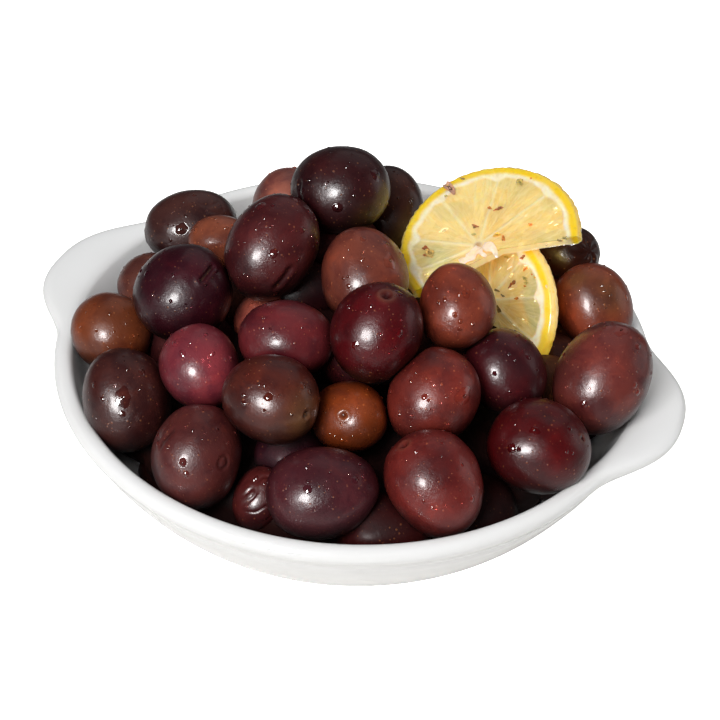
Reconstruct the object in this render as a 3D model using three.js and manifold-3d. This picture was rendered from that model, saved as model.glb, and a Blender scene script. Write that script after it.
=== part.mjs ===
// A white eared porcelain dish heaped with table olives, with two slices of lemon tucked into the heap.
// Millimetres, +Z up. The foot stands on z = 0, the axis of the dish is Z and its two ears lie beside X.
import * as THREE from 'three';
import { mergeVertices } from 'three/addons/utils/BufferGeometryUtils.js';
import Module from 'manifold-3d';

// ---- driving dimensions -------------------------------------------------------------------------

const DISH_HEIGHT = 34;
const RIM_RADIUS = 80;
const RIM_WIDTH = 5.4;
const RIM_DEPTH = 5;
const RIDGE_RADIUS = 76.5;
const RIDGE_HEIGHT = 24.6;
const FOOT_RADIUS = 55;
const WALL_BULGE = 3;
const WALL_BULGE_LOWNESS = 0.7;
const WALL_STEPS = 4;
const FLOOR_HEIGHT = 6;
const FLOOR_RADIUS = 47;
const INNER_WALL_BULGE = 5;
const EAR_REACH_RIGHT = 9.8;
const EAR_REACH_LEFT = 11.3;
const EAR_HALF_ANGLE = THREE.MathUtils.degToRad(22.5);
const EAR_BEARING = THREE.MathUtils.degToRad(2.4);
const EAR_FULLNESS = 1.35;
const DISH_STEPS = 52;

const GAP = 0.3;

const SLICE_THICKNESS = 3.4;
const RIND_WIDTH = 3.4;
const FLESH_SINK = 0.35;
const RIND_CHAMFER = 0.5;
const SLICE_STEPS = 32;
const WEDGE_REACH = 80;

const CORE_RADIUS = 66;
const CORE_FLOOR = FLOOR_HEIGHT + 0.4;
const CORE_LEAN = 5;
const CORE_STEPS = 18;
const OLIVE_SIDES = 10;
const LOWER_OLIVE_SIDES = 7;

// A slice's centre, the direction its face looks (bearing from +X, rise over the horizontal, degrees),
// its radius, and the wedge that is cut away: its apex on the face, and its two edges' directions.
const SLICES = {
  lemon_slice_upper: {
    centre: [28.4, 22.6, 61], bearing: 244, rise: 65, radius: 24,
    apex: [4.7, -0.2], from: -114, to: 44,
  },
  lemon_slice_lower: {
    centre: [27, 19.5, 38.6], bearing: 246, rise: 31, radius: 24.5,
    apex: [0, -0.5], from: -180, to: 0,
  },
};

// Olives on the front and the top of the heap: x, y, z of the middle, length, width, and where the
// long axis points (bearing from +X and rise over the horizontal, degrees).
const SHOWN_OLIVES = [
  [-56, 19, 43, 25, 21, 25, 10],
  [-43, 10, 48, 19, 15, 20, 0],
  [-41, -19, 52, 26, 25, 35, 50],
  [-22, -5, 62, 29, 23, 70, 45],
  [-12, 19, 68, 27, 23, 15, 10],
  [-31, 31, 49, 23, 21, -70, -80],
  [-4, 37, 53, 24, 19, -60, -50],
  [-61, 1, 34, 18, 17, 65, 40],
  [-60, -25, 37, 22, 21, 5, -15],
  [-44, -47, 36, 27, 22, -55, -50],
  [-27, -39, 46, 22, 20, -40, -25],
  [-19, -60, 36, 26, 22, -80, -50],
  [-4, -48, 51, 25, 22, 10, -10],
  [-8, -29, 54, 24, 20, 15, -5],
  [-23, -9, 42, 16, 14, 65, 40],
  [3, -2, 59, 25, 23, -55, -50],
  [14, -24, 60, 26, 23, 80, 60],
  [30, -7, 60, 23, 20, -60, -50],
  [44, -10, 46, 23, 20, -15, -35],
  [57, 33, 39, 25, 21, -35, -45],
  [68, 1, 43, 30, 24, 70, 45],
  [59, -26, 39, 26, 23, 10, -10],
  [44, 49, 43, 18, 16, 15, -10],
  [13, -37, 42, 20, 18, -15, 25],
  [32, -29, 48, 25, 22, 70, 45],
  [39, -48, 38, 27, 23, -30, -45],
  [15, -60, 36, 28, 22, 25, 5],
  [-2, -57, 26, 17, 14, 65, 40],
];

// Olives under those, and on the far side of the heap, where it slopes down below the rim.
const LOWER_OLIVES = [
  [-42, 40, 20, 25, 20, 40, 10],
  [-24, 53, 20, 24, 20, -20, 15],
  [-2, 58, 20, 26, 21, 5, -10],
  [20, 55, 20, 24, 20, -35, 5],
  [40, 43, 22, 22, 19, 130, 10],
  [-38, 16, 36, 25, 22, 75, 15],
  [-16, 42, 35, 25, 21, 30, 0],
  [8, 43, 36, 23, 20, 80, 20],
  [24, 42, 45, 22, 19, 10, 15],
  [42, 43, 36, 20, 18, 35, 10],
  [52, 20, 26, 22, 20, 85, 0],
  [52, 4, 34, 22, 20, 10, 0],
  [-12, 18, 49, 24, 22, 60, 5],
  [-39, 3, 41, 24, 21, 100, 5],
  [-40, -17, 32, 24, 21, 60, 0],
  [-15, 2, 44, 22, 20, 20, 10],
  [8, -16, 44, 24, 20, 40, 0],
  [28, -5, 41, 24, 21, 10, 5],
  [-2, -45, 33, 22, 19, 80, 0],
  [-33, -51, 23, 22, 20, -50, 0],
  [28, -54, 23, 24, 20, 30, 0],
  [-55, -10, 23, 22, 19, 85, 0],
];

// ---- solids -------------------------------------------------------------------------------------

const wasm = await Module();
wasm.setup();

/** A closed geometry as a solid that can be joined and cut. */
function toSolid(geometry) {
  const bare = geometry.clone();
  bare.deleteAttribute('normal');
  bare.deleteAttribute('uv');
  const merged = mergeVertices(bare, 1e-4);
  const mesh = new wasm.Mesh({
    numProp: 3,
    vertProperties: new Float32Array(merged.attributes.position.array),
    triVerts: new Uint32Array(merged.index.array),
  });
  return new wasm.Manifold(mesh);
}

/** A solid as a geometry with a normal for each face. */
function toGeometry(solid) {
  const mesh = solid.getMesh();
  const geometry = new THREE.BufferGeometry();
  geometry.setAttribute('position', new THREE.BufferAttribute(mesh.vertProperties, 3));
  geometry.setIndex(new THREE.BufferAttribute(mesh.triVerts, 1));
  geometry.computeVertexNormals();
  return geometry;
}

/** A lathe geometry of [radius, height] points, turned from three's Y axis to Z. */
function lathe(points, steps) {
  const profile = points.map(([radius, height]) => new THREE.Vector2(radius, height));
  const geometry = new THREE.LatheGeometry(profile, steps);
  geometry.rotateX(Math.PI / 2);
  return geometry;
}

/** The unit vector at a bearing from +X and a rise over the horizontal, in degrees. */
function direction(bearing, rise) {
  const turn = THREE.MathUtils.degToRad(bearing);
  const lift = THREE.MathUtils.degToRad(rise);
  return new THREE.Vector3(
    Math.cos(lift) * Math.cos(turn),
    Math.cos(lift) * Math.sin(turn),
    Math.sin(lift),
  );
}

// ---- dish ---------------------------------------------------------------------------------------

/** How far the rim stands out beside a point: none on the plain rim, the whole reach amid an ear. */
function earPull(x, y) {
  const fromEar = Math.abs(Math.atan2(y, Math.abs(x)) - EAR_BEARING) / EAR_HALF_ANGLE;
  const reach = x > 0 ? EAR_REACH_RIGHT : EAR_REACH_LEFT;
  return fromEar < 1 ? reach * (0.5 + 0.5 * Math.cos(Math.PI * fromEar ** EAR_FULLNESS)) : 0;
}

/** Points on a straight wall that swells by a bulge, lower down for a lowness under 1, without the ends. */
function bulgedWall([startRadius, startHeight], [endRadius, endHeight], bulge, lowness) {
  const points = [];
  for (let step = 1; step < WALL_STEPS; step++) {
    const share = step / WALL_STEPS;
    const swell = bulge * Math.sin(Math.PI * share ** lowness);
    points.push([
      THREE.MathUtils.lerp(startRadius, endRadius, share) + swell,
      THREE.MathUtils.lerp(startHeight, endHeight, share),
      0,
    ]);
  }
  return points;
}

/**
 * The dish's section from the middle of the foot, up the outside, over the rim and down to the floor.
 * A point is [radius, height, how much of the ears' reach it takes].
 */
function dishSection() {
  const crown = RIM_RADIUS - RIM_WIDTH / 2;
  const inside = RIM_RADIUS - RIM_WIDTH;
  const footEdge = [FOOT_RADIUS + 1.4, 1.4, 0];
  const ridge = [RIDGE_RADIUS, RIDGE_HEIGHT, 0];
  const underRim = [inside, DISH_HEIGHT - RIM_DEPTH / 2, 0.1];
  const floorEdge = [FLOOR_RADIUS + 6, FLOOR_HEIGHT + 1, 0];
  return [
    [0, 0, 0],
    [FOOT_RADIUS, 0, 0],
    footEdge,
    ...bulgedWall(footEdge, ridge, WALL_BULGE, WALL_BULGE_LOWNESS),
    ridge,
    [RIDGE_RADIUS + 0.6, RIDGE_HEIGHT + 2.2, 0.15],
    [RIM_RADIUS - 1.4, DISH_HEIGHT - RIM_DEPTH, 0.65],
    [RIM_RADIUS - 0.2, DISH_HEIGHT - RIM_DEPTH * 0.6, 1],
    [RIM_RADIUS - 0.3, DISH_HEIGHT - RIM_DEPTH * 0.28, 1],
    [RIM_RADIUS - 1.2, DISH_HEIGHT - RIM_DEPTH * 0.06, 0.93],
    [crown, DISH_HEIGHT, 0.62],
    [inside + 1.2, DISH_HEIGHT - RIM_DEPTH * 0.06, 0.28],
    [inside + 0.3, DISH_HEIGHT - RIM_DEPTH * 0.26, 0.16],
    underRim,
    ...bulgedWall(underRim, floorEdge, INNER_WALL_BULGE, 1),
    floorEdge,
    [FLOOR_RADIUS, FLOOR_HEIGHT, 0],
    [0, FLOOR_HEIGHT, 0],
  ];
}

/** A section moved outward by a margin along its own normals, with its ends kept on the axis. */
function grownSection(section, margin) {
  return section.map(([radius, height, share], index) => {
    const [beforeRadius, beforeHeight] = section[Math.max(index - 1, 0)];
    const [afterRadius, afterHeight] = section[Math.min(index + 1, section.length - 1)];
    const run = new THREE.Vector2(afterRadius - beforeRadius, afterHeight - beforeHeight).normalize();
    const onAxis = radius === 0;
    const side = onAxis ? Math.sign(run.x) : run.x;
    return [onAxis ? 0 : radius + margin * run.y, height - margin * side, share];
  });
}

/** The dish, grown by a margin on every face. */
function dishGeometry(margin) {
  const section = grownSection(dishSection(), margin);
  const geometry = lathe(section, DISH_STEPS);
  const position = geometry.attributes.position;
  for (let index = 0; index < position.count; index++) {
    const share = section[index % section.length][2];
    const x = position.getX(index);
    const y = position.getY(index);
    const pull = share * earPull(x, y);
    const stretch = 1 + pull / Math.max(Math.hypot(x, y), 1);
    position.setXY(index, x * stretch, y * stretch);
  }
  return geometry;
}

// ---- lemon slices -------------------------------------------------------------------------------

/** Places a solid from a slice's own axes, with the face looking along its Z, into the dish's frame. */
function placeSlice(geometry, slice) {
  const facing = direction(slice.bearing, slice.rise);
  const across = new THREE.Vector3(0, 0, 1).cross(facing).normalize();
  const uphill = facing.clone().cross(across);
  geometry.applyMatrix4(new THREE.Matrix4().makeBasis(across, uphill, facing));
  geometry.translate(...slice.centre);
  return geometry;
}

/** The round slice: its face is at z = 0, the rind stands a little proud of the flesh on both sides. */
function wheelGeometry(radius, margin) {
  const outer = radius + margin;
  const flesh = radius - RIND_WIDTH;
  const top = margin;
  const bottom = -SLICE_THICKNESS - margin;
  return lathe([
    [0, bottom + FLESH_SINK],
    [flesh - 0.6, bottom + FLESH_SINK],
    [flesh, bottom],
    [outer - RIND_CHAMFER, bottom],
    [outer, bottom + RIND_CHAMFER],
    [outer, top - RIND_CHAMFER],
    [outer - RIND_CHAMFER, top],
    [flesh, top],
    [flesh - 0.6, top - FLESH_SINK],
    [0, top - FLESH_SINK],
  ], SLICE_STEPS);
}

/** The wedge that is missing from a slice, a fan of flat sides from its apex, shrunk by a margin. */
function wedgeGeometry(slice, margin) {
  const start = THREE.MathUtils.degToRad(slice.from);
  const turn = THREE.MathUtils.degToRad(slice.to - slice.from);
  const middle = start + turn / 2;
  const inset = margin / Math.sin(turn / 2);
  const apex = new THREE.Vector2(
    slice.apex[0] + inset * Math.cos(middle),
    slice.apex[1] + inset * Math.sin(middle),
  );
  const outline = new THREE.Shape([apex]);
  const sides = 4;
  for (let side = 0; side <= sides; side++) {
    const angle = start + (turn * side) / sides;
    outline.lineTo(apex.x + WEDGE_REACH * Math.cos(angle), apex.y + WEDGE_REACH * Math.sin(angle));
  }
  outline.closePath();
  const depth = SLICE_THICKNESS * 3;
  const geometry = new THREE.ExtrudeGeometry(outline, { depth, bevelEnabled: false });
  geometry.translate(0, 0, -SLICE_THICKNESS / 2 - depth / 2);
  return geometry;
}

/** One slice of lemon in its place, grown by a margin. */
function sliceSolid(slice, margin) {
  const wheel = toSolid(placeSlice(wheelGeometry(slice.radius, margin), slice));
  const wedge = toSolid(placeSlice(wedgeGeometry(slice, margin), slice));
  return wheel.subtract(wedge);
}

// ---- heap of olives -----------------------------------------------------------------------------

/** One olive, an ellipsoid turned along its long axis. */
function oliveGeometry([x, y, z, length, width, bearing, rise], sides) {
  const geometry = new THREE.SphereGeometry(0.5, sides, Math.round(sides * 0.7));
  geometry.scale(width, length, width);
  const turn = new THREE.Quaternion();
  turn.setFromUnitVectors(new THREE.Vector3(0, 1, 0), direction(bearing, rise));
  geometry.applyQuaternion(turn);
  geometry.translate(x, y, z);
  return geometry;
}

/** The inside of the heap: it follows the dish's hollow and is higher at the front than at the back. */
function coreGeometry() {
  const geometry = lathe([
    [0, CORE_FLOOR],
    [FLOOR_RADIUS, CORE_FLOOR],
    [CORE_RADIUS - 6, CORE_FLOOR + 6],
    [CORE_RADIUS, CORE_FLOOR + 13],
    [CORE_RADIUS, CORE_FLOOR + 20],
    [CORE_RADIUS - 8, CORE_FLOOR + 27],
    [42, 39],
    [24, 50],
    [0, 55],
  ], CORE_STEPS);
  const front = direction(-70, 0);
  const position = geometry.attributes.position;
  for (let index = 0; index < position.count; index++) {
    const x = position.getX(index);
    const y = position.getY(index);
    const z = position.getZ(index);
    const share = THREE.MathUtils.clamp((z - CORE_FLOOR - 14) / 8, 0, 1);
    const lean = (CORE_LEAN * share * (x * front.x + y * front.y)) / CORE_RADIUS;
    position.setZ(index, z + lean);
  }
  return geometry;
}

/** The whole heap, fitted into the dish and round the lemon slices. */
function heapSolid() {
  let heap = toSolid(coreGeometry());
  for (const olive of SHOWN_OLIVES) {
    heap = heap.add(toSolid(oliveGeometry(olive, OLIVE_SIDES)));
  }
  for (const olive of LOWER_OLIVES) {
    heap = heap.add(toSolid(oliveGeometry(olive, LOWER_OLIVE_SIDES)));
  }
  heap = heap.subtract(toSolid(dishGeometry(GAP)));
  for (const slice of Object.values(SLICES)) {
    heap = heap.subtract(sliceSolid(slice, GAP));
  }
  return heap;
}

// ---- the object ---------------------------------------------------------------------------------

/** A named mesh with its own material. */
function namedMesh(name, solid, colour, roughness) {
  const material = new THREE.MeshStandardMaterial({ color: colour, roughness, metalness: 0 });
  const mesh = new THREE.Mesh(toGeometry(solid), material);
  mesh.name = name;
  return mesh;
}

const group = new THREE.Group();
group.add(namedMesh('dish', toSolid(dishGeometry(0)), 0xf1f0ee, 0.12));
group.add(namedMesh('olive_heap', heapSolid(), 0x4a1f24, 0.25));
for (const [name, slice] of Object.entries(SLICES)) {
  group.add(namedMesh(name, sliceSolid(slice, 0), 0xf6df6a, 0.3));
}

export default group;
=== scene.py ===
# Looks of a dish of table olives: glazed dish, olives, lemon slices, herb flakes and drops of brine.
import math
from collections import namedtuple
import bpy
import numpy as np
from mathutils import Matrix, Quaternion, Vector


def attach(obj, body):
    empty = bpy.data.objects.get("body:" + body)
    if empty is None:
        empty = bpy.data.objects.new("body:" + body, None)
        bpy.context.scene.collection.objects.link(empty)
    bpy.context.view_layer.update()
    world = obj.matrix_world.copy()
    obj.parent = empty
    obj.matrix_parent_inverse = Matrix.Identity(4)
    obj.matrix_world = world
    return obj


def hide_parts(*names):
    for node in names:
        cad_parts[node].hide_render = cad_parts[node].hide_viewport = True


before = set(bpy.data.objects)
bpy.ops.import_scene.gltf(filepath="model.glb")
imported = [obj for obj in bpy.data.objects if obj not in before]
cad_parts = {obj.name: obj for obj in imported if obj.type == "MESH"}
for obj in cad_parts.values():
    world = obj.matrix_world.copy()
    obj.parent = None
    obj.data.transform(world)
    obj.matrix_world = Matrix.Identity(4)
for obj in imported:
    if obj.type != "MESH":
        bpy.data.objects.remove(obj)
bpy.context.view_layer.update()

MM = 0.001


# ---- small tools ---------------------------------------------------------------------------------

def direction(bearing, rise):
    """Unit vector at a bearing from +X and a rise over the horizontal, in degrees."""
    turn, lift = math.radians(bearing), math.radians(rise)
    return np.array([math.cos(lift) * math.cos(turn), math.cos(lift) * math.sin(turn), math.sin(lift)])


def unit(vectors):
    return vectors / np.linalg.norm(vectors, axis=-1, keepdims=True)


def smooth_step(low, high, values):
    share = np.clip((values - low) / (high - low), 0, 1)
    return share * share * (3 - 2 * share)


def ripple(points, wavelength, seed, waves=9):
    """Soft random swells of about -1 to 1 with a given wavelength, as a sum of plane waves."""
    draws = np.random.default_rng(seed)
    total = np.zeros(len(points))
    for _ in range(waves):
        wave = unit(draws.normal(size=3)) * 2 * math.pi / (wavelength * draws.uniform(0.75, 1.5))
        total += np.sin(points @ wave + draws.uniform(0, 2 * math.pi))
    return total / math.sqrt(waves * 0.5) / 1.6


def make_piece(name, points, faces, materials, colours=None, shares=None, uv=None, face_material=None):
    """A mesh object at the origin from points in millimetres, with point colours, shares and a UV map."""
    mesh = bpy.data.meshes.new(name)
    mesh.from_pydata((np.asarray(points) * MM).tolist(), [], [list(map(int, face)) for face in faces])
    for material in materials:
        mesh.materials.append(material)
    mesh.polygons.foreach_set("use_smooth", np.ones(len(mesh.polygons), bool))
    if face_material is not None:
        mesh.polygons.foreach_set("material_index", np.asarray(face_material, np.int32))
    for key, values in (colours or {}).items():
        layer = mesh.attributes.new(key, "FLOAT_COLOR", "POINT")
        rgba = np.ones((len(values), 4), np.float32)
        rgba[:, :3] = values
        layer.data.foreach_set("color", rgba.ravel())
    for key, values in (shares or {}).items():
        layer = mesh.attributes.new(key, "FLOAT", "POINT")
        layer.data.foreach_set("value", np.asarray(values, np.float32))
    if uv is not None:
        corner = np.empty(len(mesh.loops), np.int32)
        mesh.loops.foreach_get("vertex_index", corner)
        layer = mesh.uv_layers.new(name="flesh")
        layer.data.foreach_set("uv", np.asarray(uv, np.float32)[corner].ravel())
    mesh.validate()
    mesh.update()
    piece = bpy.data.objects.new(name, mesh)
    bpy.context.collection.objects.link(piece)
    return piece


def grid_faces(rows, columns, wrap):
    """Quads of a grid of points, row by row; wrap joins the last column to the first."""
    row, column = np.meshgrid(np.arange(rows - 1), np.arange(columns if wrap else columns - 1), indexing="ij")
    beside = (column + 1) % columns
    quads = [row * columns + column, row * columns + beside, (row + 1) * columns + beside,
             (row + 1) * columns + column]
    return np.stack([quad.ravel() for quad in quads], axis=1)


def welded(points, faces, step=1e-3):
    """Merges points that lie together and drops the faces that fall flat."""
    _, first, place = np.unique(np.round(points / step).astype(np.int64), axis=0, return_index=True,
                                return_inverse=True)
    place = place.ravel()
    kept = []
    for face in faces:
        corners = []
        for corner in place[list(face)]:
            if not corners or (corner != corners[-1] and corner != corners[0]):
                corners.append(int(corner))
        if len(corners) > 2:
            kept.append(corners)
    return first, kept


def round_ball(steps):
    """Directions and triangles of a ball of even triangles, with each icosahedron edge cut into steps."""
    golden = (1 + math.sqrt(5)) / 2
    corners = unit(np.array([
        (-1, golden, 0), (1, golden, 0), (-1, -golden, 0), (1, -golden, 0), (0, -1, golden), (0, 1, golden),
        (0, -1, -golden), (0, 1, -golden), (golden, 0, -1), (golden, 0, 1), (-golden, 0, -1),
        (-golden, 0, 1)], float))
    sides = [(0, 11, 5), (0, 5, 1), (0, 1, 7), (0, 7, 10), (0, 10, 11), (1, 5, 9), (5, 11, 4), (11, 10, 2),
             (10, 7, 6), (7, 1, 8), (3, 9, 4), (3, 4, 2), (3, 2, 6), (3, 6, 8), (3, 8, 9), (4, 9, 5),
             (2, 4, 11), (6, 2, 10), (8, 6, 7), (9, 8, 1)]
    points, faces = [], []
    for a, b, c in sides:
        start = len(points)
        index = {}
        for i in range(steps + 1):
            for j in range(steps + 1 - i):
                index[i, j] = start + len(index)
                points.append(corners[a] + (corners[b] - corners[a]) * i / steps
                              + (corners[c] - corners[a]) * j / steps)
        for i in range(steps):
            for j in range(steps - i):
                faces.append((index[i, j], index[i + 1, j], index[i, j + 1]))
                if i + j < steps - 1:
                    faces.append((index[i + 1, j], index[i + 1, j + 1], index[i, j + 1]))
    points = unit(np.array(points))
    _, first, place = np.unique(np.round(points, 5), axis=0, return_index=True, return_inverse=True)
    return points[first], place.ravel()[np.array(faces)]


# ---- dish ----------------------------------------------------------------------------------------

DISH_HEIGHT = 34
RIM_RADIUS = 80
RIM_WIDTH = 5.4
RIM_DEPTH = 5
RIDGE_RADIUS = 76.5
RIDGE_HEIGHT = 24.6
FOOT_RADIUS = 55
FOOT_RING_WIDTH = 5
FOOT_RECESS = 1.2
WALL_BULGE = 3
WALL_BULGE_LOWNESS = 0.7
FLOOR_HEIGHT = 6
FLOOR_RADIUS = 47
INNER_WALL_BULGE = 5
EAR_REACH_RIGHT = 9.8
EAR_REACH_LEFT = 11.3
EAR_HALF_ANGLE = math.radians(22.5)
EAR_BEARING = math.radians(2.4)
EAR_FULLNESS = 1.35
DISH_STEPS = 320
WALL_STEPS = 6
SKIN_GAP = 0.12


def ear_pull(bearing):
    """How far the rim stands out at a bearing: nothing on the plain rim, the whole reach amid an ear."""
    from_ear = np.abs(np.arctan2(np.sin(bearing), np.abs(np.cos(bearing))) - EAR_BEARING) / EAR_HALF_ANGLE
    reach = np.where(np.cos(bearing) > 0, EAR_REACH_RIGHT, EAR_REACH_LEFT)
    return np.where(from_ear < 1, reach * (0.5 + 0.5 * np.cos(math.pi * from_ear ** EAR_FULLNESS)), 0)


def bulged_wall(start, end, bulge, lowness):
    """Points on a wall that swells by a bulge, lower down for a lowness under 1, without its ends."""
    points = []
    for step in range(1, WALL_STEPS):
        share = step / WALL_STEPS
        swell = bulge * math.sin(math.pi * share ** lowness)
        points.append([start[0] + (end[0] - start[0]) * share + swell,
                       start[1] + (end[1] - start[1]) * share, 0])
    return points


def dish_section():
    """Outer and inner part of the dish's section. A point is radius, height, share of the ears' reach."""
    crown = RIM_RADIUS - RIM_WIDTH / 2
    inside = RIM_RADIUS - RIM_WIDTH
    foot_edge = [FOOT_RADIUS + 1.4, 1.4, 0]
    ridge = [RIDGE_RADIUS, RIDGE_HEIGHT, 0]
    under_rim = [inside, DISH_HEIGHT - RIM_DEPTH / 2, 0.1]
    floor_edge = [FLOOR_RADIUS + 6, FLOOR_HEIGHT + 1, 0]
    ring = FOOT_RADIUS - FOOT_RING_WIDTH
    outer = [
        [0, FOOT_RECESS, 0], [ring - 4, FOOT_RECESS, 0], [ring - 2, FOOT_RECESS, 0], [ring - 1, 0, 0],
        [ring + 0.5, 0, 0], [FOOT_RADIUS - 1, 0, 0], [FOOT_RADIUS, 0, 0], foot_edge,
        *bulged_wall(foot_edge, ridge, WALL_BULGE, WALL_BULGE_LOWNESS),
        ridge,
        [RIDGE_RADIUS + 0.6, RIDGE_HEIGHT + 2.2, 0.15],
        [RIM_RADIUS - 1.4, DISH_HEIGHT - RIM_DEPTH, 0.65],
        [RIM_RADIUS - 0.1, DISH_HEIGHT - RIM_DEPTH * 0.6, 1],
        [RIM_RADIUS - 0.2, DISH_HEIGHT - RIM_DEPTH * 0.28, 1],
    ]
    inner = [
        [RIM_RADIUS - 1.2, DISH_HEIGHT - RIM_DEPTH * 0.05, 0.93],
        [crown, DISH_HEIGHT, 0.62],
        [inside + 1.2, DISH_HEIGHT - RIM_DEPTH * 0.06, 0.28],
        [inside + 0.3, DISH_HEIGHT - RIM_DEPTH * 0.26, 0.16],
        under_rim,
        *bulged_wall(under_rim, floor_edge, INNER_WALL_BULGE, 1),
        floor_edge, [FLOOR_RADIUS, FLOOR_HEIGHT, 0], [FLOOR_RADIUS - 4, FLOOR_HEIGHT, 0],
        [0, FLOOR_HEIGHT, 0],
    ]
    return outer, inner


def rounded(line, rounds):
    """Cuts the corners of an open line of points again and again, with its ends kept."""
    line = np.array(line, float)
    for _ in range(rounds):
        early, late = line[:-1] * 0.75 + line[1:] * 0.25, line[:-1] * 0.25 + line[1:] * 0.75
        cut = np.stack([early, late], axis=1).reshape(-1, line.shape[1])
        line = np.vstack([line[:1], cut[1:-1], line[-1:]])
    return line


def make_dish(material):
    outer, inner = dish_section()
    section = rounded(outer + inner, 3)
    bearings = np.linspace(-math.pi, math.pi, DISH_STEPS, endpoint=False)
    pull = section[:, 2][:, None] * ear_pull(bearings)[None, :]
    radius = section[:, 0][:, None] + pull
    points = np.stack([
        radius * np.cos(bearings), radius * np.sin(bearings),
        np.repeat(section[:, 1][:, None], DISH_STEPS, axis=1)], axis=2)
    points = points.reshape(-1, 3)
    foot_inside = FOOT_RADIUS - FOOT_RING_WIDTH - 0.6
    bare = (np.abs(points[:, 2]) < 0.25) & (np.hypot(points[:, 0], points[:, 1]) > foot_inside)
    first, faces = welded(points, grid_faces(len(section), DISH_STEPS, True))
    return make_piece("dish_glazed", points[first], faces, [material],
                      shares={"bare_clay": bare[first].astype(float)})


INNER_LINE = rounded(dish_section()[1], 1)


def settle_in_dish(points):
    """Moves points that would lie in the dish's wall, floor or rim on to its glaze."""
    points = points.copy()
    reach = np.hypot(points[:, 0], points[:, 1])
    near = np.nonzero((reach > 30) & (points[:, 2] < DISH_HEIGHT + 1))[0]
    if not len(near):
        return points
    spot, radius = points[near], reach[near]
    bearing = np.arctan2(spot[:, 1], spot[:, 0])
    line_radius = INNER_LINE[:, 0][None, :] + INNER_LINE[:, 2][None, :] * ear_pull(bearing)[:, None]
    line_height = np.repeat(INNER_LINE[:, 1][None, :], len(near), axis=0)
    start = np.stack([line_radius[:, :-1], line_height[:, :-1]], axis=2)
    run = np.stack([line_radius[:, 1:], line_height[:, 1:]], axis=2) - start
    here = np.stack([radius, spot[:, 2]], axis=1)[:, None, :]
    share = np.clip(((here - start) * run).sum(2) / (run * run).sum(2), 0, 1)
    foot = start + run * share[:, :, None]
    apart = np.linalg.norm(here - foot, axis=2)
    nearest = apart.argmin(axis=1)
    rows = np.arange(len(near))
    foot, run = foot[rows, nearest], run[rows, nearest]
    inward = unit(np.stack([run[:, 1], -run[:, 0]], axis=1))
    depth = ((here[:, 0] - foot) * inward).sum(1)
    moved = foot + inward * SKIN_GAP
    inside = depth < SKIN_GAP
    stretch = moved[:, 0] / radius
    spot[inside, 0] *= stretch[inside]
    spot[inside, 1] *= stretch[inside]
    spot[inside, 2] = moved[inside, 1]
    points[near] = spot
    return points


# ---- lemon slices --------------------------------------------------------------------------------

SLICE_THICKNESS = 3.4
FLESH_RADIUS = 20.6
FLESH_SINK = 0.4
MEMBRANE_WIDTH = 0.42
# Of each slice's numbers, the glow share is painted light, stronger on the lower slice that lies in shade;
# the see-through share and the spot darken the flesh towards olive-yellow, partly its own clear look, partly
# painted shade of the dark olives behind it.
SLICES = {
    "upper": {
        "centre": (28.4, 22.6, 61), "bearing": 244, "rise": 65, "radius": 24, "apex": (4.7, -0.2),
        "kept": (44, 246),
        "core": (-1.2, -2.8), "membranes": (79, 118, 164, 207, 241), "seed": 3, "rind": (0.8, 0.55, 0.2),
        "see_through": 0.5, "zest": 2, "outer": 0.5, "painted_glow": 0.05,
        "shade_through_spot": (-9, -13.5, 7, 0.75),
    },
    "lower": {
        "centre": (27, 19.5, 38.6), "bearing": 246, "rise": 31, "radius": 24.5, "apex": (0, -0.5),
        "kept": (0, 180),
        "core": (2.5, 4.8), "membranes": (30, 73, 115, 150, 349), "seed": 8, "rind": (0.88, 0.61, 0.28),
        "see_through": 0.9, "zest": 2.2, "outer": 0.9, "painted_glow": 0.26,
        "shade_through_spot": (4, 16, 5, 0.5),
    },
}
for cut in SLICES.values():
    facing = direction(cut["bearing"], cut["rise"])
    across = unit(np.cross([0, 0, 1], facing))
    cut["axes"] = np.array([across, np.cross(facing, across), facing])
    cut["centre"] = np.array(cut["centre"], float)


def slice_place(cut, flat):
    """Points in the slice's own millimetres (across, uphill, out of its face) in the dish's frame."""
    return flat @ cut["axes"] + cut["centre"]


def slice_marks(cut, x, y):
    """Zest, pith, membrane and flesh map at points of a slice's face."""
    radius = np.hypot(x, y)
    bearing = np.degrees(np.arctan2(y - cut["core"][1], x - cut["core"][0])) % 360
    from_core = np.hypot(x - cut["core"][0], y - cut["core"][1])
    flat = np.stack([x, y, np.zeros_like(x)], axis=1)
    uneven = ripple(flat, 5, cut["seed"], 7)
    zest_start = cut["radius"] - cut["zest"] + 0.25 * uneven
    zest = smooth_step(zest_start - 0.9, zest_start + 0.3, radius)
    flesh_edge = FLESH_RADIUS + 0.35 * uneven
    ends = np.array(cut["membranes"], float)
    signed = (bearing[:, None] - ends[None, :] + 180) % 360 - 180
    turn = np.abs(signed)
    nearest = turn.min(axis=1)
    apart = from_core * np.sin(np.radians(np.minimum(nearest, 90)))
    scallop = np.exp(-(apart / 1.6) ** 2)
    pith = smooth_step(-0.45, 0.35, radius - flesh_edge + 1.1 * scallop)
    pith = np.maximum(pith, smooth_step(1.5, 0.9, from_core + 0.2 * uneven))
    width = MEMBRANE_WIDTH * (1 + 0.8 * np.exp(-(from_core / 3.5) ** 2)) * (1 + 0.25 * uneven)
    membrane = np.exp(-(apart / width) ** 2)
    segment = (bearing[:, None] > ends[None, :]).sum(axis=1)
    middle = np.radians(nearest) * np.sign(signed[np.arange(len(x)), turn.argmin(axis=1)])
    uv = np.stack([middle * (6 + from_core * 0.45) * MM + segment * 0.031,
                   from_core * MM + segment * 0.017], axis=1)
    return zest, pith, membrane, uv


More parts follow.
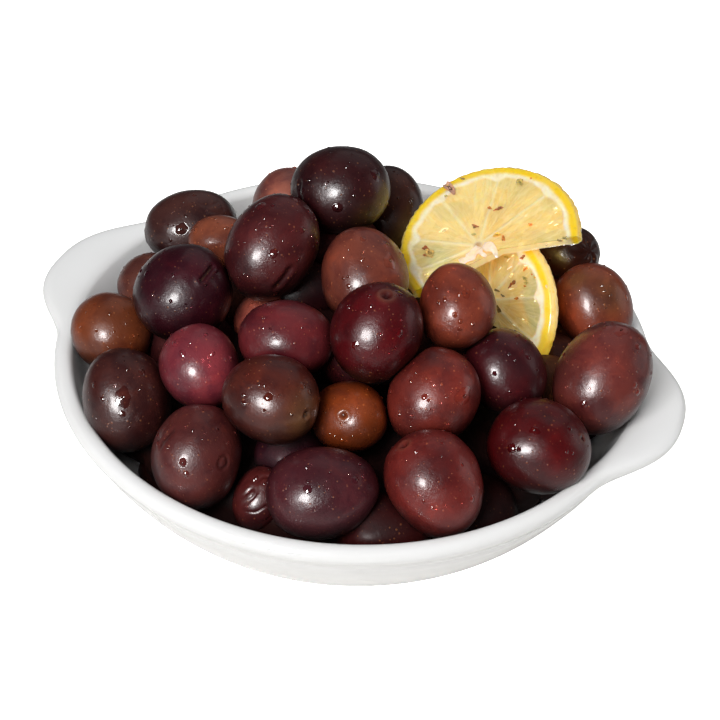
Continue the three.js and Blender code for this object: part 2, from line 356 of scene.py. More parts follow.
def slice_face_height(cut, x, y, side):
    """How far the cut face stands below the rind's plane."""
    zest, pith, membrane, _ = slice_marks(cut, x, y)
    radius = np.hypot(x, y)
    bearing = np.arctan2(y - cut["core"][1], x - cut["core"][0])
    from_core = np.hypot(x - cut["core"][0], y - cut["core"][1])
    sacs = np.stack([bearing * 14, from_core * 0.45, np.full_like(x, side * 9.0)], axis=1)
    cells = 0.4 * ripple(sacs, 1.6, cut["seed"] + 5, 9)
    flat = np.stack([x, y, np.full_like(x, side * 4.0)], axis=1)
    spongy = ripple(flat, 1.7, cut["seed"] + 7, 7)
    flesh = -FLESH_SINK + 0.13 * cells + 0.05 * ripple(flat, 4, cut["seed"] + 9, 6)
    raised = np.maximum(pith, membrane * 0.8)
    height = flesh * (1 - raised) + (-0.07 + 0.05 * spongy) * raised
    height = np.where(zest > 0.5, 0.02 * spongy, height)
    round_off = np.clip((radius - (cut["radius"] - 0.9)) / 0.9, 0, 1)
    return height - 0.55 * round_off ** 2.4


def see_through(cut, x, y):
    """How far the flesh darkens towards olive-yellow: in some of the segments, towards the peel and at one
    spot. It is partly the flesh's own clear look and partly painted shade of the dark olives behind it.
    """
    flat = np.stack([x, y, np.full_like(x, cut["seed"] * 3.0)], axis=1)
    glassy_parts = smooth_step(-0.2, 0.9, ripple(flat, 9, cut["seed"] + 13, 6))
    clear = cut["see_through"] * glassy_parts * smooth_step(2, 15, np.hypot(x, y))
    across, uphill, reach, amount = cut["shade_through_spot"]
    spot = amount * np.exp(-((x - across) ** 2 + (y - uphill) ** 2) / reach ** 2)
    return np.clip(clear + spot, 0, 1)


def make_slice(name, cut, material):
    """A sector of a lemon wheel: rays from the missing wedge's apex to the peel, above, round and below."""
    apex = np.array(cut["apex"], float)
    start, end = map(math.radians, cut["kept"])
    columns, rows, peel_rows = 240, 64, 9
    angles = np.linspace(start, end, columns)
    ways = np.stack([np.cos(angles), np.sin(angles)], axis=1)
    along = ways @ apex
    reach = -along + np.sqrt(along ** 2 - apex @ apex + cut["radius"] ** 2)
    shares = np.linspace(0, 1, rows) ** 0.9
    spot = apex[None, None, :] + shares[None, :, None] * reach[:, None, None] * ways[:, None, :]
    x, y = spot[..., 0].ravel(), spot[..., 1].ravel()
    zest, pith, membrane, uv = slice_marks(cut, x, y)
    top = slice_face_height(cut, x, y, 1)
    bottom = -SLICE_THICKNESS - slice_face_height(cut, x, y, -1)
    shape = (columns, rows)
    glassy_and_shade = see_through(cut, x, y)
    outer = smooth_step(cut["radius"] - cut["outer"], cut["radius"], np.hypot(x, y))
    marks = np.stack([zest, pith, membrane, uv[:, 0], uv[:, 1], outer, glassy_and_shade, np.zeros_like(x)],
                     axis=1).reshape(*shape, 8)
    upper = np.concatenate([spot, top.reshape(*shape, 1), marks], axis=2)
    lower = np.concatenate([spot, bottom.reshape(*shape, 1), marks], axis=2)[:, ::-1]
    depth = np.linspace(0, 1, peel_rows + 2)[1:-1]
    edge_top, edge_bottom = upper[:, -1:], lower[:, :1]
    peel = edge_top * (1 - depth)[None, :, None] + edge_bottom * depth[None, :, None]
    swell = 0.55 * np.sin(math.pi * depth) ** 0.6
    outward = unit(spot[:, -1])
    rim = np.stack([peel[..., 0].ravel() * 1.3, peel[..., 1].ravel() * 1.3, peel[..., 2].ravel() * 1.3],
                   axis=1)
    pores = 0.16 * ripple(rim, 2.3, cut["seed"] + 2, 12).reshape(columns, peel_rows)
    peel[..., :2] += outward[:, None, :] * (swell[None, :] + pores)[..., None]
    peel[..., 3:] = [1, 0, 0, 0, 0, 1, 0, 0]
    peel[..., 8] = np.sin(math.pi * depth) ** 0.4
    skin = np.concatenate([upper, peel, lower], axis=1)
    per_row = skin.shape[1]
    points = skin.reshape(-1, 11)
    faces = grid_faces(columns, per_row, False)
    sheets, all_faces = [points], [faces]
    for column, flip in ((0, False), (columns - 1, True)):
        line = skin[column]
        tops, bottoms = line[:rows + peel_rows // 2 + 1], line[::-1][:rows + peel_rows // 2 + 1]
        layers = np.linspace(0, 1, 9)
        wall = tops[None] * (1 - layers)[:, None, None] + bottoms[None] * layers[:, None, None]
        inner = wall[1:-1]
        away = np.array([math.sin(angles[column]), -math.cos(angles[column])]) * (-1 if flip else 1)
        grain = np.stack([inner[..., 0].ravel(), inner[..., 1].ravel(), inner[..., 2].ravel() * 0.6], axis=1)
        rough = 0.14 * ripple(grain, 1.5, cut["seed"] + column, 9).reshape(inner.shape[:2])
        from_start = np.linspace(0, 1, inner.shape[1])
        hold = np.clip((1 - from_start) * 12, 0, 1) * np.clip(from_start * 12, 0, 1)
        inner[..., :2] -= away * (np.abs(rough) * hold[None, :])[..., None]
        wall[1:-1, :, 10] = 1
        sheet_faces = grid_faces(9, wall.shape[1], False)
        if flip:
            sheet_faces = sheet_faces[:, ::-1]
        all_faces.append(sheet_faces + sum(len(sheet) for sheet in sheets))
        sheets.append(wall.reshape(-1, 11))
    points = np.vstack(sheets)
    faces = np.vstack(all_faces)
    first, faces = welded(points[:, :3], faces, 2e-3)
    points = points[first]
    placed = slice_place(cut, points[:, :3])
    heart = np.exp(-(np.hypot(points[:, 0] - cut["core"][0], points[:, 1] - cut["core"][1]) / 1.1) ** 4)
    # The glow share makes the slice glow in the flesh material: painted light.
    shares = {
        "zest": points[:, 3], "pith": points[:, 4], "membrane": points[:, 5], "rind_side": points[:, 8],
        "glassy_and_shade": points[:, 9], "cut_side": points[:, 10], "heart": heart,
        "painted_glow": np.full(len(points), cut["painted_glow"]),
    }
    low_end = smooth_step(10, 2, points[:, 1])[:, None] if name == "lemon_lower" else 0
    gold = np.array([0.95, 0.56, 0.05]) * low_end * np.ones((len(points), 1))
    rind = {"rind_tone": np.array(cut["rind"]) * (1 - low_end) + gold}
    return make_piece(name, placed, faces, [material], colours=rind, shares=shares, uv=points[:, 6:8])


# Torn pith at the upper slice's heart: runs of across, uphill, out of the face and half width, in mm.
TORN_PITH = [
    [(-0.7, -3.2, -0.1, 1.0), (-0.4, -5.4, 0.05, 1.5), (-0.2, -7.4, 0.1, 1.9), (-1.5, -9.8, -0.1, 0.9)],
    [(0.2, -2.2, 0, 1.1), (2, -1.6, 0.15, 1.3), (3.8, -1.6, 0.05, 1.0), (5.6, -2.9, -0.5, 0.5)],
    [(0, -4, 0.05, 1.0), (1.6, -4.4, 0.1, 0.9), (3, -4.2, -0.4, 0.4)],
]


def make_torn_pith(material):
    """Flat ragged strips of pith that lie on the upper slice and hang over its cut."""
    points, faces, count, around = [], [], 0, 12
    angle = np.linspace(0, 2 * math.pi, around, endpoint=False)
    for number, run in enumerate(TORN_PITH):
        line = rounded(run, 3)
        along = unit(np.gradient(line[:, :2], axis=0))
        beside = np.stack([-along[:, 1], along[:, 0]], axis=1)
        ground = np.column_stack([line[:, :2], np.full(len(line), number * 7.0)])
        ragged = 1 + 0.3 * ripple(ground, 1.6, 60 + number, 6)
        half = (line[:, 3] * ragged)[:, None]
        ring = line[:, None, :2] + beside[:, None, :] * (half * np.cos(angle))[..., None]
        height = line[:, 2][:, None] + 0.12 + 0.3 * np.sin(angle)[None, :] * np.minimum(half, 0.8)
        tube = np.concatenate([ring, height[..., None]], axis=2).reshape(-1, 3)
        tube[:, 2] += 0.1 * ripple(tube, 1.1, 70 + number, 6)
        ends = [tube[:around].mean(axis=0), tube[-around:].mean(axis=0)]
        shape = np.vstack([tube, ends])
        last = len(tube) - around
        caps = [((k + 1) % around, k, len(tube)) for k in range(around)]
        caps += [(last + k, last + (k + 1) % around, len(tube) + 1) for k in range(around)]
        quads = [tuple(reversed(quad)) for quad in grid_faces(len(line), around, True)]
        turned = [tuple(reversed(quad)) for quad in quads]
        faces += [tuple(corner + count for corner in face) for face in turned + caps]
        points.append(slice_place(SLICES["upper"], shape))
        count += len(shape)
    total = np.ones(count)
    # They glow faintly in the flesh material: painted light.
    return make_piece("lemon_torn_pith", np.vstack(points), faces, [material],
                      shares={"pith": total, "painted_glow": total * 0.16})


def clear_of_slice(points, middle, cut):
    """Presses an olive's points out of a slice, on to the face that its middle is nearer to."""
    margin = 0.1
    local = (points - cut["centre"]) @ cut["axes"].T
    side = 1 if ((middle - cut["centre"]) @ cut["axes"].T)[2] > -SLICE_THICKNESS / 2 else -1
    apex = np.array(cut["apex"])
    bearing = np.degrees(np.arctan2(local[:, 1] - apex[1], local[:, 0] - apex[0]))
    start, end = cut["kept"]
    kept = (bearing - start) % 360 < end - start
    inside = kept & (np.hypot(local[:, 0], local[:, 1]) < cut["radius"] + 0.6)
    inside &= (local[:, 2] < margin) & (local[:, 2] > -SLICE_THICKNESS - margin)
    local[inside, 2] = margin if side > 0 else -SLICE_THICKNESS - margin
    return np.where(inside[:, None], slice_place(cut, local), points)


# ---- olives --------------------------------------------------------------------------------------

# The camera's view. Its picture is 720 x 720 pixels: the pixel that shows the middle of the rim's
# plane, and how many pixels a millimetre takes there.
VIEW_BEARING, VIEW_RISE, VIEW_ROLL, VIEW_DISTANCE = -70.4, 39.2, 2.2, 520
PICTURE_MIDDLE, PICTURE_SCALE = (354.2, 342), 3.73
FRONT = direction(VIEW_BEARING, VIEW_RISE)
FRONT_RIGHT = direction(VIEW_BEARING + 90, 0)
FRONT_UP = np.cross(FRONT, FRONT_RIGHT)

# A pixel of the picture, and an olive's outline there: its middle and half sizes in pixels, and its
# turn in degrees. An olive itself is in millimetres and degrees, in the dish's frame.
Spot = namedtuple("Spot", "across down")
Outline = namedtuple("Outline", "across down half_length half_width turn")
Olive = namedtuple("Olive", "x y z length width bearing rise colour")


def sight_line(spot):
    """The eye, and the direction in which it sees a spot of the picture."""
    roll = math.radians(VIEW_ROLL)
    across, down = spot.across - PICTURE_MIDDLE[0], spot.down - PICTURE_MIDDLE[1]
    right = math.cos(roll) * across + math.sin(roll) * down
    up = math.sin(roll) * across - math.cos(roll) * down
    eye = FRONT * VIEW_DISTANCE + np.array([0, 0, DISH_HEIGHT])
    return eye, FRONT_RIGHT * right + FRONT_UP * up - FRONT * PICTURE_SCALE * VIEW_DISTANCE


def met_on(cut, place):
    """Across and uphill, in mm, where a slice's face shows at a spot of the picture. Other places stay."""
    if not isinstance(place, Spot):
        return place
    facing = cut["axes"][2]
    eye, sight = sight_line(place)
    met = eye + sight * ((cut["centre"] - eye) @ facing) / (sight @ facing) - cut["centre"]
    return cut["axes"][:2] @ met


def seen(outline, height, lean, colour, **moved):
    """An olive from its outline, the height of its middle and how far it leans towards the eye.

    Places and sizes are kept to 0.1 mm and directions to a degree. What was moved comes last.
    """
    eye, sight = sight_line(outline)
    middle = eye + sight * (height - eye[2]) / sight[2]
    scale = PICTURE_SCALE * VIEW_DISTANCE / ((eye - middle) @ FRONT)
    half_length, half_width = outline.half_length / scale, outline.half_width / scale
    turn, lean = math.radians(outline.turn), math.radians(lean)
    half_length = math.sqrt(half_length ** 2 - (half_width * math.sin(lean)) ** 2) / math.cos(lean)
    flat_way = math.cos(turn) * FRONT_RIGHT + math.sin(turn) * FRONT_UP
    way = math.cos(lean) * flat_way + math.sin(lean) * FRONT
    way = way if way[0] > 0 else -way
    bearing, rise = math.degrees(math.atan2(way[1], way[0])), math.degrees(math.asin(way[2]))
    x, y, length, width = (round(size, 1) for size in (middle[0], middle[1], 2 * half_length, 2 * half_width))
    return Olive(x, y, height, length, width, round(bearing), round(rise), colour)._replace(**moved)


def front_way(right, up):
    """Direction from an olive's middle to a place on its front, as shares of its half width and height."""
    across = min(math.hypot(right, up), 0.995)
    scale = across / max(math.hypot(right, up), 1e-6)
    return (right * FRONT_RIGHT + up * FRONT_UP) * scale + FRONT * math.sqrt(1 - across ** 2)


GREEN = (0.2, 0.15, 0.045)

# Olives that show, from their outlines, and then the others: middle x, y, z, length and width in mm,
# bearing and rise of the long axis in degrees, and the skin's colour.
OLIVES = {
    1: seen(Outline(190, 227, 47, 37, 12), 43, 0, (0.05, 0.016, 0.0135), x=-56.5, y=19, length=26),
    2: seen(Outline(222, 243, 34, 28, 0), 48, 0, (0.215, 0.056, 0.027), width=15.2),
    3: seen(Outline(184, 292, 50, 48, 50), 52, 20, (0.037, 0.004, 0.0085)),
    4: seen(Outline(272, 248, 56, 45, 62), 62, 0, (0.071, 0.0105, 0.0115), length=29),
    5: seen(Outline(340, 190, 50, 44, 5), 68, 10, (0.032, 0.006, 0.007)),
    6: seen(Outline(290, 208, 40, 38, 90), 49, 30, (0.27, 0.083, 0.056), bearing=-72, rise=-83),
    7: seen(Outline(390, 208, 43, 34, 95), 53, 0, (0.042, 0.0125, 0.009)),
    8: seen(Outline(150, 285, 33, 31, 60), 34, 0, (0.148, 0.042, 0.027), bearing=65, rise=40),
    9: seen(Outline(112, 332, 42, 39, -20), 37, 0, (0.178, 0.0415, 0.014)),
    10: seen(Outline(127, 399, 54, 45, -80), 36, 0, (0.056, 0.013, 0.0105), length=27, width=22.5),
    11: seen(Outline(201, 368, 44, 40, -60), 46, 20, (0.2, 0.027, 0.037), rise=-25),
    12: seen(Outline(197, 457, 53, 45, 85), 36, 0, (0.102, 0.02, 0.0175)),
    13: seen(Outline(270, 399, 50, 45, -12), 51, 0, (0.08, 0.0135, 0.0085)),
    14: seen(Outline(286, 339, 48, 40, -8), 54, 0, (0.138, 0.0165, 0.0205)),
    15: seen(Outline(262, 318, 30, 27, 60), 42, 0, (0.3, 0.068, 0.045), bearing=65, rise=40),
    17: seen(Outline(364, 275, 49, 44, 100), 59, 0, (0.19, 0.044, 0.0255), length=25.3, width=22.7),
    18: seen(Outline(377, 332, 52, 46, 75), 60, 10, (0.068, 0.0022, 0.0042)),
    19: seen(Outline(457, 307, 44, 39, 95), 60, 0, (0.235, 0.041, 0.019)),
    20: seen(Outline(505, 371, 45, 40, -50), 46, 0, (0.055, 0.0062, 0.0088)),
    21: seen(Outline(594, 308, 46, 38, -65), 39, 0, (0.22, 0.041, 0.018)),
    22: seen(Outline(603, 377, 59, 47, 62), 43, 0, (0.15, 0.0285, 0.0225)),
    23: seen(Outline(539, 447, 52, 47, -15), 39, 0, (0.072, 0.003, 0.004)),
    24: seen(Outline(567, 254, 33, 29, -10), 43, 0, (0.03, 0.006, 0.003)),
    25: seen(Outline(349, 417, 39, 36, 0), 42, 40, (0.19, 0.034, 0.007)),
    26: seen(Outline(433, 397, 51, 45, 62), 48, 0, (0.162, 0.0215, 0.015)),
    27: seen(Outline(435, 484, 56, 48, -62), 38, 0, (0.146, 0.0165, 0.0135)),
    28: seen(Outline(323, 493, 57, 46, 8), 36, 0, (0.062, 0.0112, 0.0155)),
    29: seen(Outline(262, 498, 35, 28, 60), 26, 0, (0.08, 0.012, 0.0115)),
    # glimpses between the olives above, most coloured dark: painted shade in the gaps
    31: Olive(-16, 3, 44, 22, 18, 20, 10, (0.023, 0.0044, 0.0055)),
    32: Olive(0, -44, 31, 20, 17, 80, 0, (0.04, 0.0044, 0.0099)),
    33: Olive(-28, -51, 24, 16, 14, -50, 0, (0.04, 0.0077, 0.0066)),
    34: Olive(29, -55, 24, 24, 20, 30, 0, (0.033, 0.0044, 0.0044)),
    35: Olive(51, 16, 28, 23, 20, 85, 0, (0.04, 0.012, 0.0083)),
    36: Olive(53, 4, 32, 20, 18, 10, 0, (0.1, 0.03, 0.012)),
    # under the top layer
    41: Olive(-12, 18, 49, 24, 22, 60, 5, (0.04, 0.0077, 0.0077)),
    42: Olive(-40, 5, 32, 24, 21, 100, 5, (0.07, 0.02, 0.012)),
    43: Olive(-40, -17, 32, 24, 21, 60, 0, (0.053, 0.011, 0.011)),
    44: Olive(8, -16, 44, 24, 20, 40, 0, (0.046, 0.0066, 0.0083)),
    45: Olive(28, -5, 41, 24, 21, 10, 5, (0.059, 0.011, 0.0083)),
    46: Olive(-55, -10, 23, 22, 19, 85, 0, (0.033, 0.0066, 0.0066)),
    # low ones along the near wall, near black: painted shade in the gaps by the wall
    47: Olive(-48, -33, 19, 24, 20, 60, 0, (0.02, 0.0044, 0.0044)),
    48: Olive(-31, -48, 14, 22, 19, -60, 5, (0.02, 0.0044, 0.0044)),
    49: Olive(3, -55, 15, 24, 20, 0, 0, (0.02, 0.0044, 0.0044)),
    61: Olive(-12, -56, 16, 22, 19, 30, 0, (0.02, 0.0044, 0.0044)),
    62: Olive(46, -36, 20, 23, 20, 40, 0, (0.02, 0.0044, 0.0044)),
    63: Olive(58, -11, 21, 23, 20, 80, 0, (0.023, 0.0044, 0.0044)),
    64: Olive(60, 15, 20, 22, 19, 100, 0, (0.023, 0.0055, 0.0044)),
    65: Olive(50, 33, 20, 22, 19, 130, 0, (0.023, 0.0055, 0.0044)),
    66: Olive(-60, 8, 18, 22, 18, 90, 0, (0.023, 0.0055, 0.0055)),
    67: Olive(-53, 25, 20, 22, 19, 60, 0, (0.023, 0.0055, 0.0055)),
    # far side of the heap
    51: Olive(-42, 40, 20, 25, 20, 40, 10, (0.066, 0.015, 0.013)),
    52: Olive(-24, 53, 20, 24, 20, -20, 15, (0.036, 0.0077, 0.0099)),
    53: Olive(-2, 58, 20, 26, 21, 5, -10, (0.11, 0.025, 0.013)),
    54: Olive(20, 55, 20, 24, 20, -35, 5, (0.059, 0.0088, 0.011)),
    55: Olive(40, 43, 22, 22, 19, 130, 10, (0.099, 0.019, 0.014)),
    56: Olive(-38, 16, 36, 25, 22, 75, 15, (0.13, 0.022, 0.017)),
    57: Olive(-16, 42, 35, 25, 21, 30, 0, (0.033, 0.0066, 0.0088)),
    58: Olive(8, 43, 36, 23, 20, 80, 20, (0.086, 0.017, 0.012)),
    59: Olive(24, 42, 45, 22, 19, 10, 15, (0.13, 0.028, 0.014)),
    60: Olive(42, 43, 30, 20, 18, 35, 10, (0.046, 0.0099, 0.0099)),
}
FRONT_OLIVES = [key for key in OLIVES if key < 30]
REAR_OLIVES = [key for key in OLIVES if 50 < key < 61]
BETWEEN_OLIVES = [key for key in OLIVES if 30 < key < 50 or key > 60]

# Marks on the skins: kind, place as for a drop, size and depth in mm, and for some a second place.
MARKS = {
    1: [("dent", (0.3, 0.35), 4, 0.35), ("creases", (0.5, 0.52), 3.2, 0.28)],
    3: [("slit", Spot(201, 281), 0.6, 1, Spot(212, 267)), ("dent", (-0.4, 0.2), 5, 0.3),
        ("pits", (-0.68, 0.15), 3.5, 0.22)],
    4: [("crease", Spot(280, 283), 0.9, 0.5, Spot(291, 269)), ("dent", (0.2, 0.1), 5, 0.3)],
    5: [("crease", (-0.8, 0.1), 0.6, 0.35, (-0.75, -0.35)), ("bump", (0.7, 0.3), 1, 0.3)],
    10: [("dent", (0.2, 0.1), 5, 0.3), ("bump", (-0.7, 0.2), 5, 0.3)],
    12: [("ring", Spot(225, 463), 1.4, 0.35), ("dent", (-0.75, 0.55), 4.5, 0.6),
         ("crease", (-0.72, 0.25), 0.8, 0.3, (-0.5, 0.5))],
    13: [("scar", Spot(306, 414), 1.5, 0.8)],
    18: [("scar", Spot(385, 296), 2, 0.9)],
    21: [("dent", (0.1, -0.2), 4, 0.3)],
    22: [("bump", (0.3, 0.85), 2.5, 0.5), ("dent", (0.05, 0.75), 2.5, 0.5), ("dent", (0.5, 0.4), 4, 0.3)],
    23: [("dent", Spot(552, 415), 2.2, 0.7), ("scar", Spot(581, 436), 1.1, 0.5)],
    24: [("folds", Spot(589, 250), 5.5, 0.5), ("dent", (0.5, 0), 3.5, 0.6)],
    25: [("scar", Spot(341, 415), 1.3, 0.55)],
    27: [("scar", Spot(405, 446), 1.6, 0.7), ("creases", (-0.3, 0.72), 3, 0.2)],
    29: [("creases", (0.2, 0.3), 7, 0.42)],
}
# Colour patches: right, up, size in mm, colour.
PATCHES = {
    5: [(0.95, -0.25, 4, GREEN), (0.6, -0.6, 4, (0.07, 0.035, 0.014))],
    7: [(0.6, -0.7, 5, GREEN)],
    13: [(0.75, -0.4, 6, (0.17, 0.075, 0.028))],
    21: [(0.3, 0.3, 6, (0.15, 0.055, 0.022)), (-0.5, 0.6, 5, (0.13, 0.05, 0.02))],
}


def ready_olive(key):
    """Adds to an olive its axes, its own egg shape and its soft swells."""
    x, y, z, length, width, bearing, rise, colour = OLIVES[key]
    long_way = direction(bearing, rise)
    side = unit(np.cross(long_way, [0.1, 0.2, 1]))
    draws = np.random.default_rng(100 + key)
    swells = [(unit(draws.normal(size=3)), draws.uniform(-0.028, 0.024), draws.uniform(0.45, 0.9))
              for _ in range(7)]
    return {
        "key": key, "middle": np.array([x, y, z], float), "length": length, "width": width,
        "colour": np.array(colour),
        "axes": np.array([side, np.cross(long_way, side), long_way]), "taper": draws.uniform(-0.1, 0.1),
        "bend": draws.uniform(-0.035, 0.035), "swells": swells, "marks": [],
    }


def way_to(olive, place):
    """Direction to a spot of the picture that shows an olive, or to a place given as shares of its front."""
    if isinstance(place, Spot):
        half = np.array([olive["width"], olive["width"], olive["length"]]) / 2
        eye, sight = sight_line(place)
        start, step = olive["axes"] @ (eye - olive["middle"]) / half, olive["axes"] @ sight / half
        square, cross, rest = step @ step, start @ step, start @ start - 1
        reach = (-cross - math.sqrt(max(cross * cross - square * rest, 0))) / square
        way = unit(eye + reach * sight - olive["middle"])
        place = round(float(way @ FRONT_RIGHT), 2), round(float(way @ FRONT_UP), 2)
    return front_way(*place)


def stem_mark(olive):
    """The pit where the stem sat, at one end of the olives that show none of their own."""
    draws = np.random.default_rng(500 + olive["key"])
    end = 1 if draws.random() < 0.5 else -1
    way = unit(olive["axes"][2] * end + draws.normal(size=3) * 0.06)
    return {"kind": "scar", "way": way, "size": draws.uniform(1.2, 1.7), "depth": draws.uniform(0.45, 0.8)}


GROVE = {key: ready_olive(key) for key in OLIVES}
for key, olive in GROVE.items():
    for kind, place, size, depth, *second in MARKS.get(key, []):
        mark = {"kind": kind, "way": way_to(olive, place), "size": size, "depth": depth}
        if second:
            mark["end"] = way_to(olive, *second)
        olive["marks"].append(mark)
    if not any(mark["kind"] == "scar" for mark in olive["marks"]):
        stem = stem_mark(olive)
        if key > 30 or stem["way"] @ FRONT < 0.35:
            olive["marks"].append(stem)


def arc_distance(ways, start, end):
    """Angle from each direction to the short arc between two directions."""
    normal = unit(np.cross(start, end))
    flat = unit(ways - (ways @ normal)[:, None] * normal)
    within = (np.cross(start, flat) @ normal > 0) & (np.cross(flat, end) @ normal > 0)
    to_ends = np.arccos(np.clip(np.maximum(ways @ start, ways @ end), -1, 1))
    return np.where(within, np.arcsin(np.clip(np.abs(ways @ normal), 0, 1)), to_ends)


def mark_relief(olive, ways):
    """Height of the marks over the plain skin, in mm, and how dark and how pale they make it. The darkening
    in grooves, pits, slits, creases and fold valleys is painted shade, at a scar partly its own darker
    colour; the pale line along a slit is a painted highlight.
    """
    relief, dark, pale = np.zeros(len(ways)), np.zeros(len(ways)), np.zeros(len(ways))
    mean = (olive["length"] + 2 * olive["width"]) / 6
    for mark in olive["marks"]:
        size, depth = mark["size"], mark["depth"]
        away = np.arccos(np.clip(ways @ mark["way"], -1, 1)) * mean
        if mark["kind"] == "dent":
            relief -= depth * np.exp(-(away / size) ** 2)
        elif mark["kind"] == "bump":
            relief += depth * np.exp(-(away / size) ** 2)
        elif mark["kind"] == "ring":
            relief -= depth * np.exp(-((away - size) / 0.4) ** 2)
            dark = np.maximum(dark, 0.35 * np.exp(-((away - size) / 0.4) ** 2))
        elif mark["kind"] == "scar":
            lip = 0.3 * depth * np.exp(-((away - size) / (size * 0.4)) ** 2)
            relief += -depth * np.exp(-(away / (size * 0.55)) ** 2) + lip
            relief -= 0.25 * depth * np.exp(-(away / (size * 2.4)) ** 2)
            dark = np.maximum(dark, 0.85 * np.exp(-(away / (size * 0.5)) ** 2))
            pale = np.maximum(pale, 0.5 * np.exp(-((away - size * 0.95) / (size * 0.35)) ** 2))
        elif mark["kind"] == "creases":
            flat = ripple(ways * mean, 1.1 + 0.6 * size, 700 + olive["key"], 6)
            relief -= depth * np.exp(-(flat / 0.35) ** 2) * np.exp(-(away / size) ** 4)
        elif mark["kind"] == "pits":
            peaks = smooth_step(0.9, 1.5, ripple(ways * mean, 1.5, 720 + olive["key"], 9))
            dots = peaks * np.exp(-(away / size) ** 4)
            relief -= depth * dots
            dark = np.maximum(dark, 0.5 * dots)
        elif mark["kind"] == "slit":
            away = arc_distance(ways, mark["way"], mark["end"]) * mean
            lip = 0.3 * depth * np.exp(-((away - 2 * size) / size) ** 2)
            relief += -depth * np.exp(-(away / size) ** 2) + lip
            dark = np.maximum(dark, 0.9 * np.exp(-(away / (size * 0.6)) ** 2))
            pale = np.maximum(pale, 0.5 * np.exp(-(away / 0.12) ** 2))
        elif mark["kind"] == "crease":
            away = arc_distance(ways, mark["way"], mark["end"]) * mean
            lip = 0.3 * depth * np.exp(-((away - 2 * size) / size) ** 2)
            relief += -depth * np.exp(-(away / size) ** 2) + lip
            dark = np.maximum(dark, 0.5 * np.exp(-(away / (size * 0.7)) ** 2))
        elif mark["kind"] == "folds":
            first = unit(np.cross(mark["way"], [0.3, 0.1, 1]))
            around = np.arctan2(ways @ first, ways @ np.cross(mark["way"], first))
            waves = np.sin(around * 7 + 1.2 * np.sin(away * 0.9))
            folds = waves * np.exp(-(away / size) ** 2) * smooth_step(0.3, 1.6, away)
            relief += depth * 0.5 * folds
            dark = np.maximum(dark, 0.4 * np.clip(-folds, 0, 1))
    return relief, dark, pale


def plain_skin(olive, ways):
    """Points of an olive's skin in given directions, before it is pressed by what it touches."""
    local = ways @ olive["axes"].T
    along = local[:, 2]
    round_part = np.sqrt(np.clip(1 - along ** 2, 1e-9, 1))
    fuller = round_part ** -0.07
    wide = olive["width"] / 2 * fuller * (1 + olive["taper"] * along)
    swell = 1 + sum(size * np.exp((ways @ way - 1) / spread ** 2 * 2)
                    for way, size, spread in olive["swells"])
    swell = swell + 0.006 * ripple(ways * olive["width"] / 2, 7, 900 + olive["key"], 8)
    local = np.stack([
        local[:, 0] * wide + olive["bend"] * olive["length"] * (along ** 2 - 0.3), local[:, 1] * wide,
        along * olive["length"] / 2], axis=1) * swell[:, None]
    relief, _, _ = mark_relief(olive, ways)
    return local @ olive["axes"] + ways * relief[:, None] + olive["middle"]


def touching():
    """For each olive, the planes that press it flat where it meets a neighbour: a point and a way out."""
    planes = {key: [] for key in GROVE}
    keys = list(GROVE)
    for number, a in enumerate(keys):
        for b in keys[number + 1:]:
            gap = GROVE[b]["middle"] - GROVE[a]["middle"]
            apart = np.linalg.norm(gap)
            if apart > 30:
                continue
            way = gap / apart
            cap_a = ((plain_skin(GROVE[a], BALL_SMALL) - GROVE[a]["middle"]) @ way).max()
            cap_b = ((plain_skin(GROVE[b], BALL_SMALL) - GROVE[b]["middle"]) @ -way).max()
            overlap = cap_a + cap_b - apart
            if overlap > -0.1:
                level = cap_a - overlap / 2
                planes[a].append((way, level - 0.03))
                planes[b].append((-way, apart - level - 0.03))
    return planes


BALL_SMALL, _ = round_ball(8)
PRESSES = touching()


def skin(olive, ways):
    """Points of an olive's skin in given directions, pressed by its neighbours, the slices and the dish."""
    points = plain_skin(olive, ways)
    for way, level in PRESSES[olive["key"]]:
        height = (points - olive["middle"]) @ way
        over = height - level
        softness = 0.45
        pressed = -softness * np.log1p(np.exp(-np.clip(over / softness, -30, 30)))
        pressed = np.where(over > -4, pressed, over)
        points = points + (pressed - over)[:, None] * way
    for cut in SLICES.values():
        points = clear_of_slice(points, olive["middle"], cut)
    return settle_in_dish(points)


def skin_colour_and_shade(olive, ways):
    """Colour of the skin in given directions: its own tone, its patches and its marks, with painted shade in
    the marks' hollows and on the underside, and a painted highlight along a slit.
    """
    tone = np.repeat(olive["colour"][None, :], len(ways), axis=0)
    mean = (olive["length"] + 2 * olive["width"]) / 6
    cloud = ripple(ways * mean, 13, 300 + olive["key"], 8)
    tone = tone * (1 + 0.22 * cloud[:, None] * np.array([1, 0.9, 0.7]))
    for right, up, size, colour in PATCHES.get(olive["key"], []):
        away = np.arccos(np.clip(ways @ front_way(right, up), -1, 1)) * mean
        share = np.exp(-(away / size) ** 2) * 0.9
        tone = tone * (1 - share[:, None]) + np.array(colour) * share[:, None]
    # The marks' darkening is painted shade in their hollows, at a scar partly its own darker colour; a slit's
    # pale line is a painted highlight.
    _, dark, pale = mark_relief(olive, ways)
    tone = tone * (1 - 0.8 * dark[:, None])
    tone = tone * (1 - 0.5 * pale[:, None]) + np.array([0.2, 0.09, 0.05]) * 0.5 * pale[:, None]
    # Darker towards the underside: painted shade.
    tone = tone * (1 - 0.78 * smooth_step(0.2, -0.72, ways[:, 2]))[:, None]
    return np.clip(tone, 0.002, 1)


def make_olives(name, keys, steps, material):
    ways, triangles = round_ball(steps)
    points, faces, tones = [], [], []
    for number, key in enumerate(keys):
        points.append(skin(GROVE[key], ways))
        tones.append(skin_colour_and_shade(GROVE[key], ways))
        faces.append(triangles + number * len(ways))
    return make_piece(name, np.vstack(points), np.vstack(faces), [material],
                      colours={"tone": np.vstack(tones)})


# ---- brine ---------------------------------------------------------------------------------------

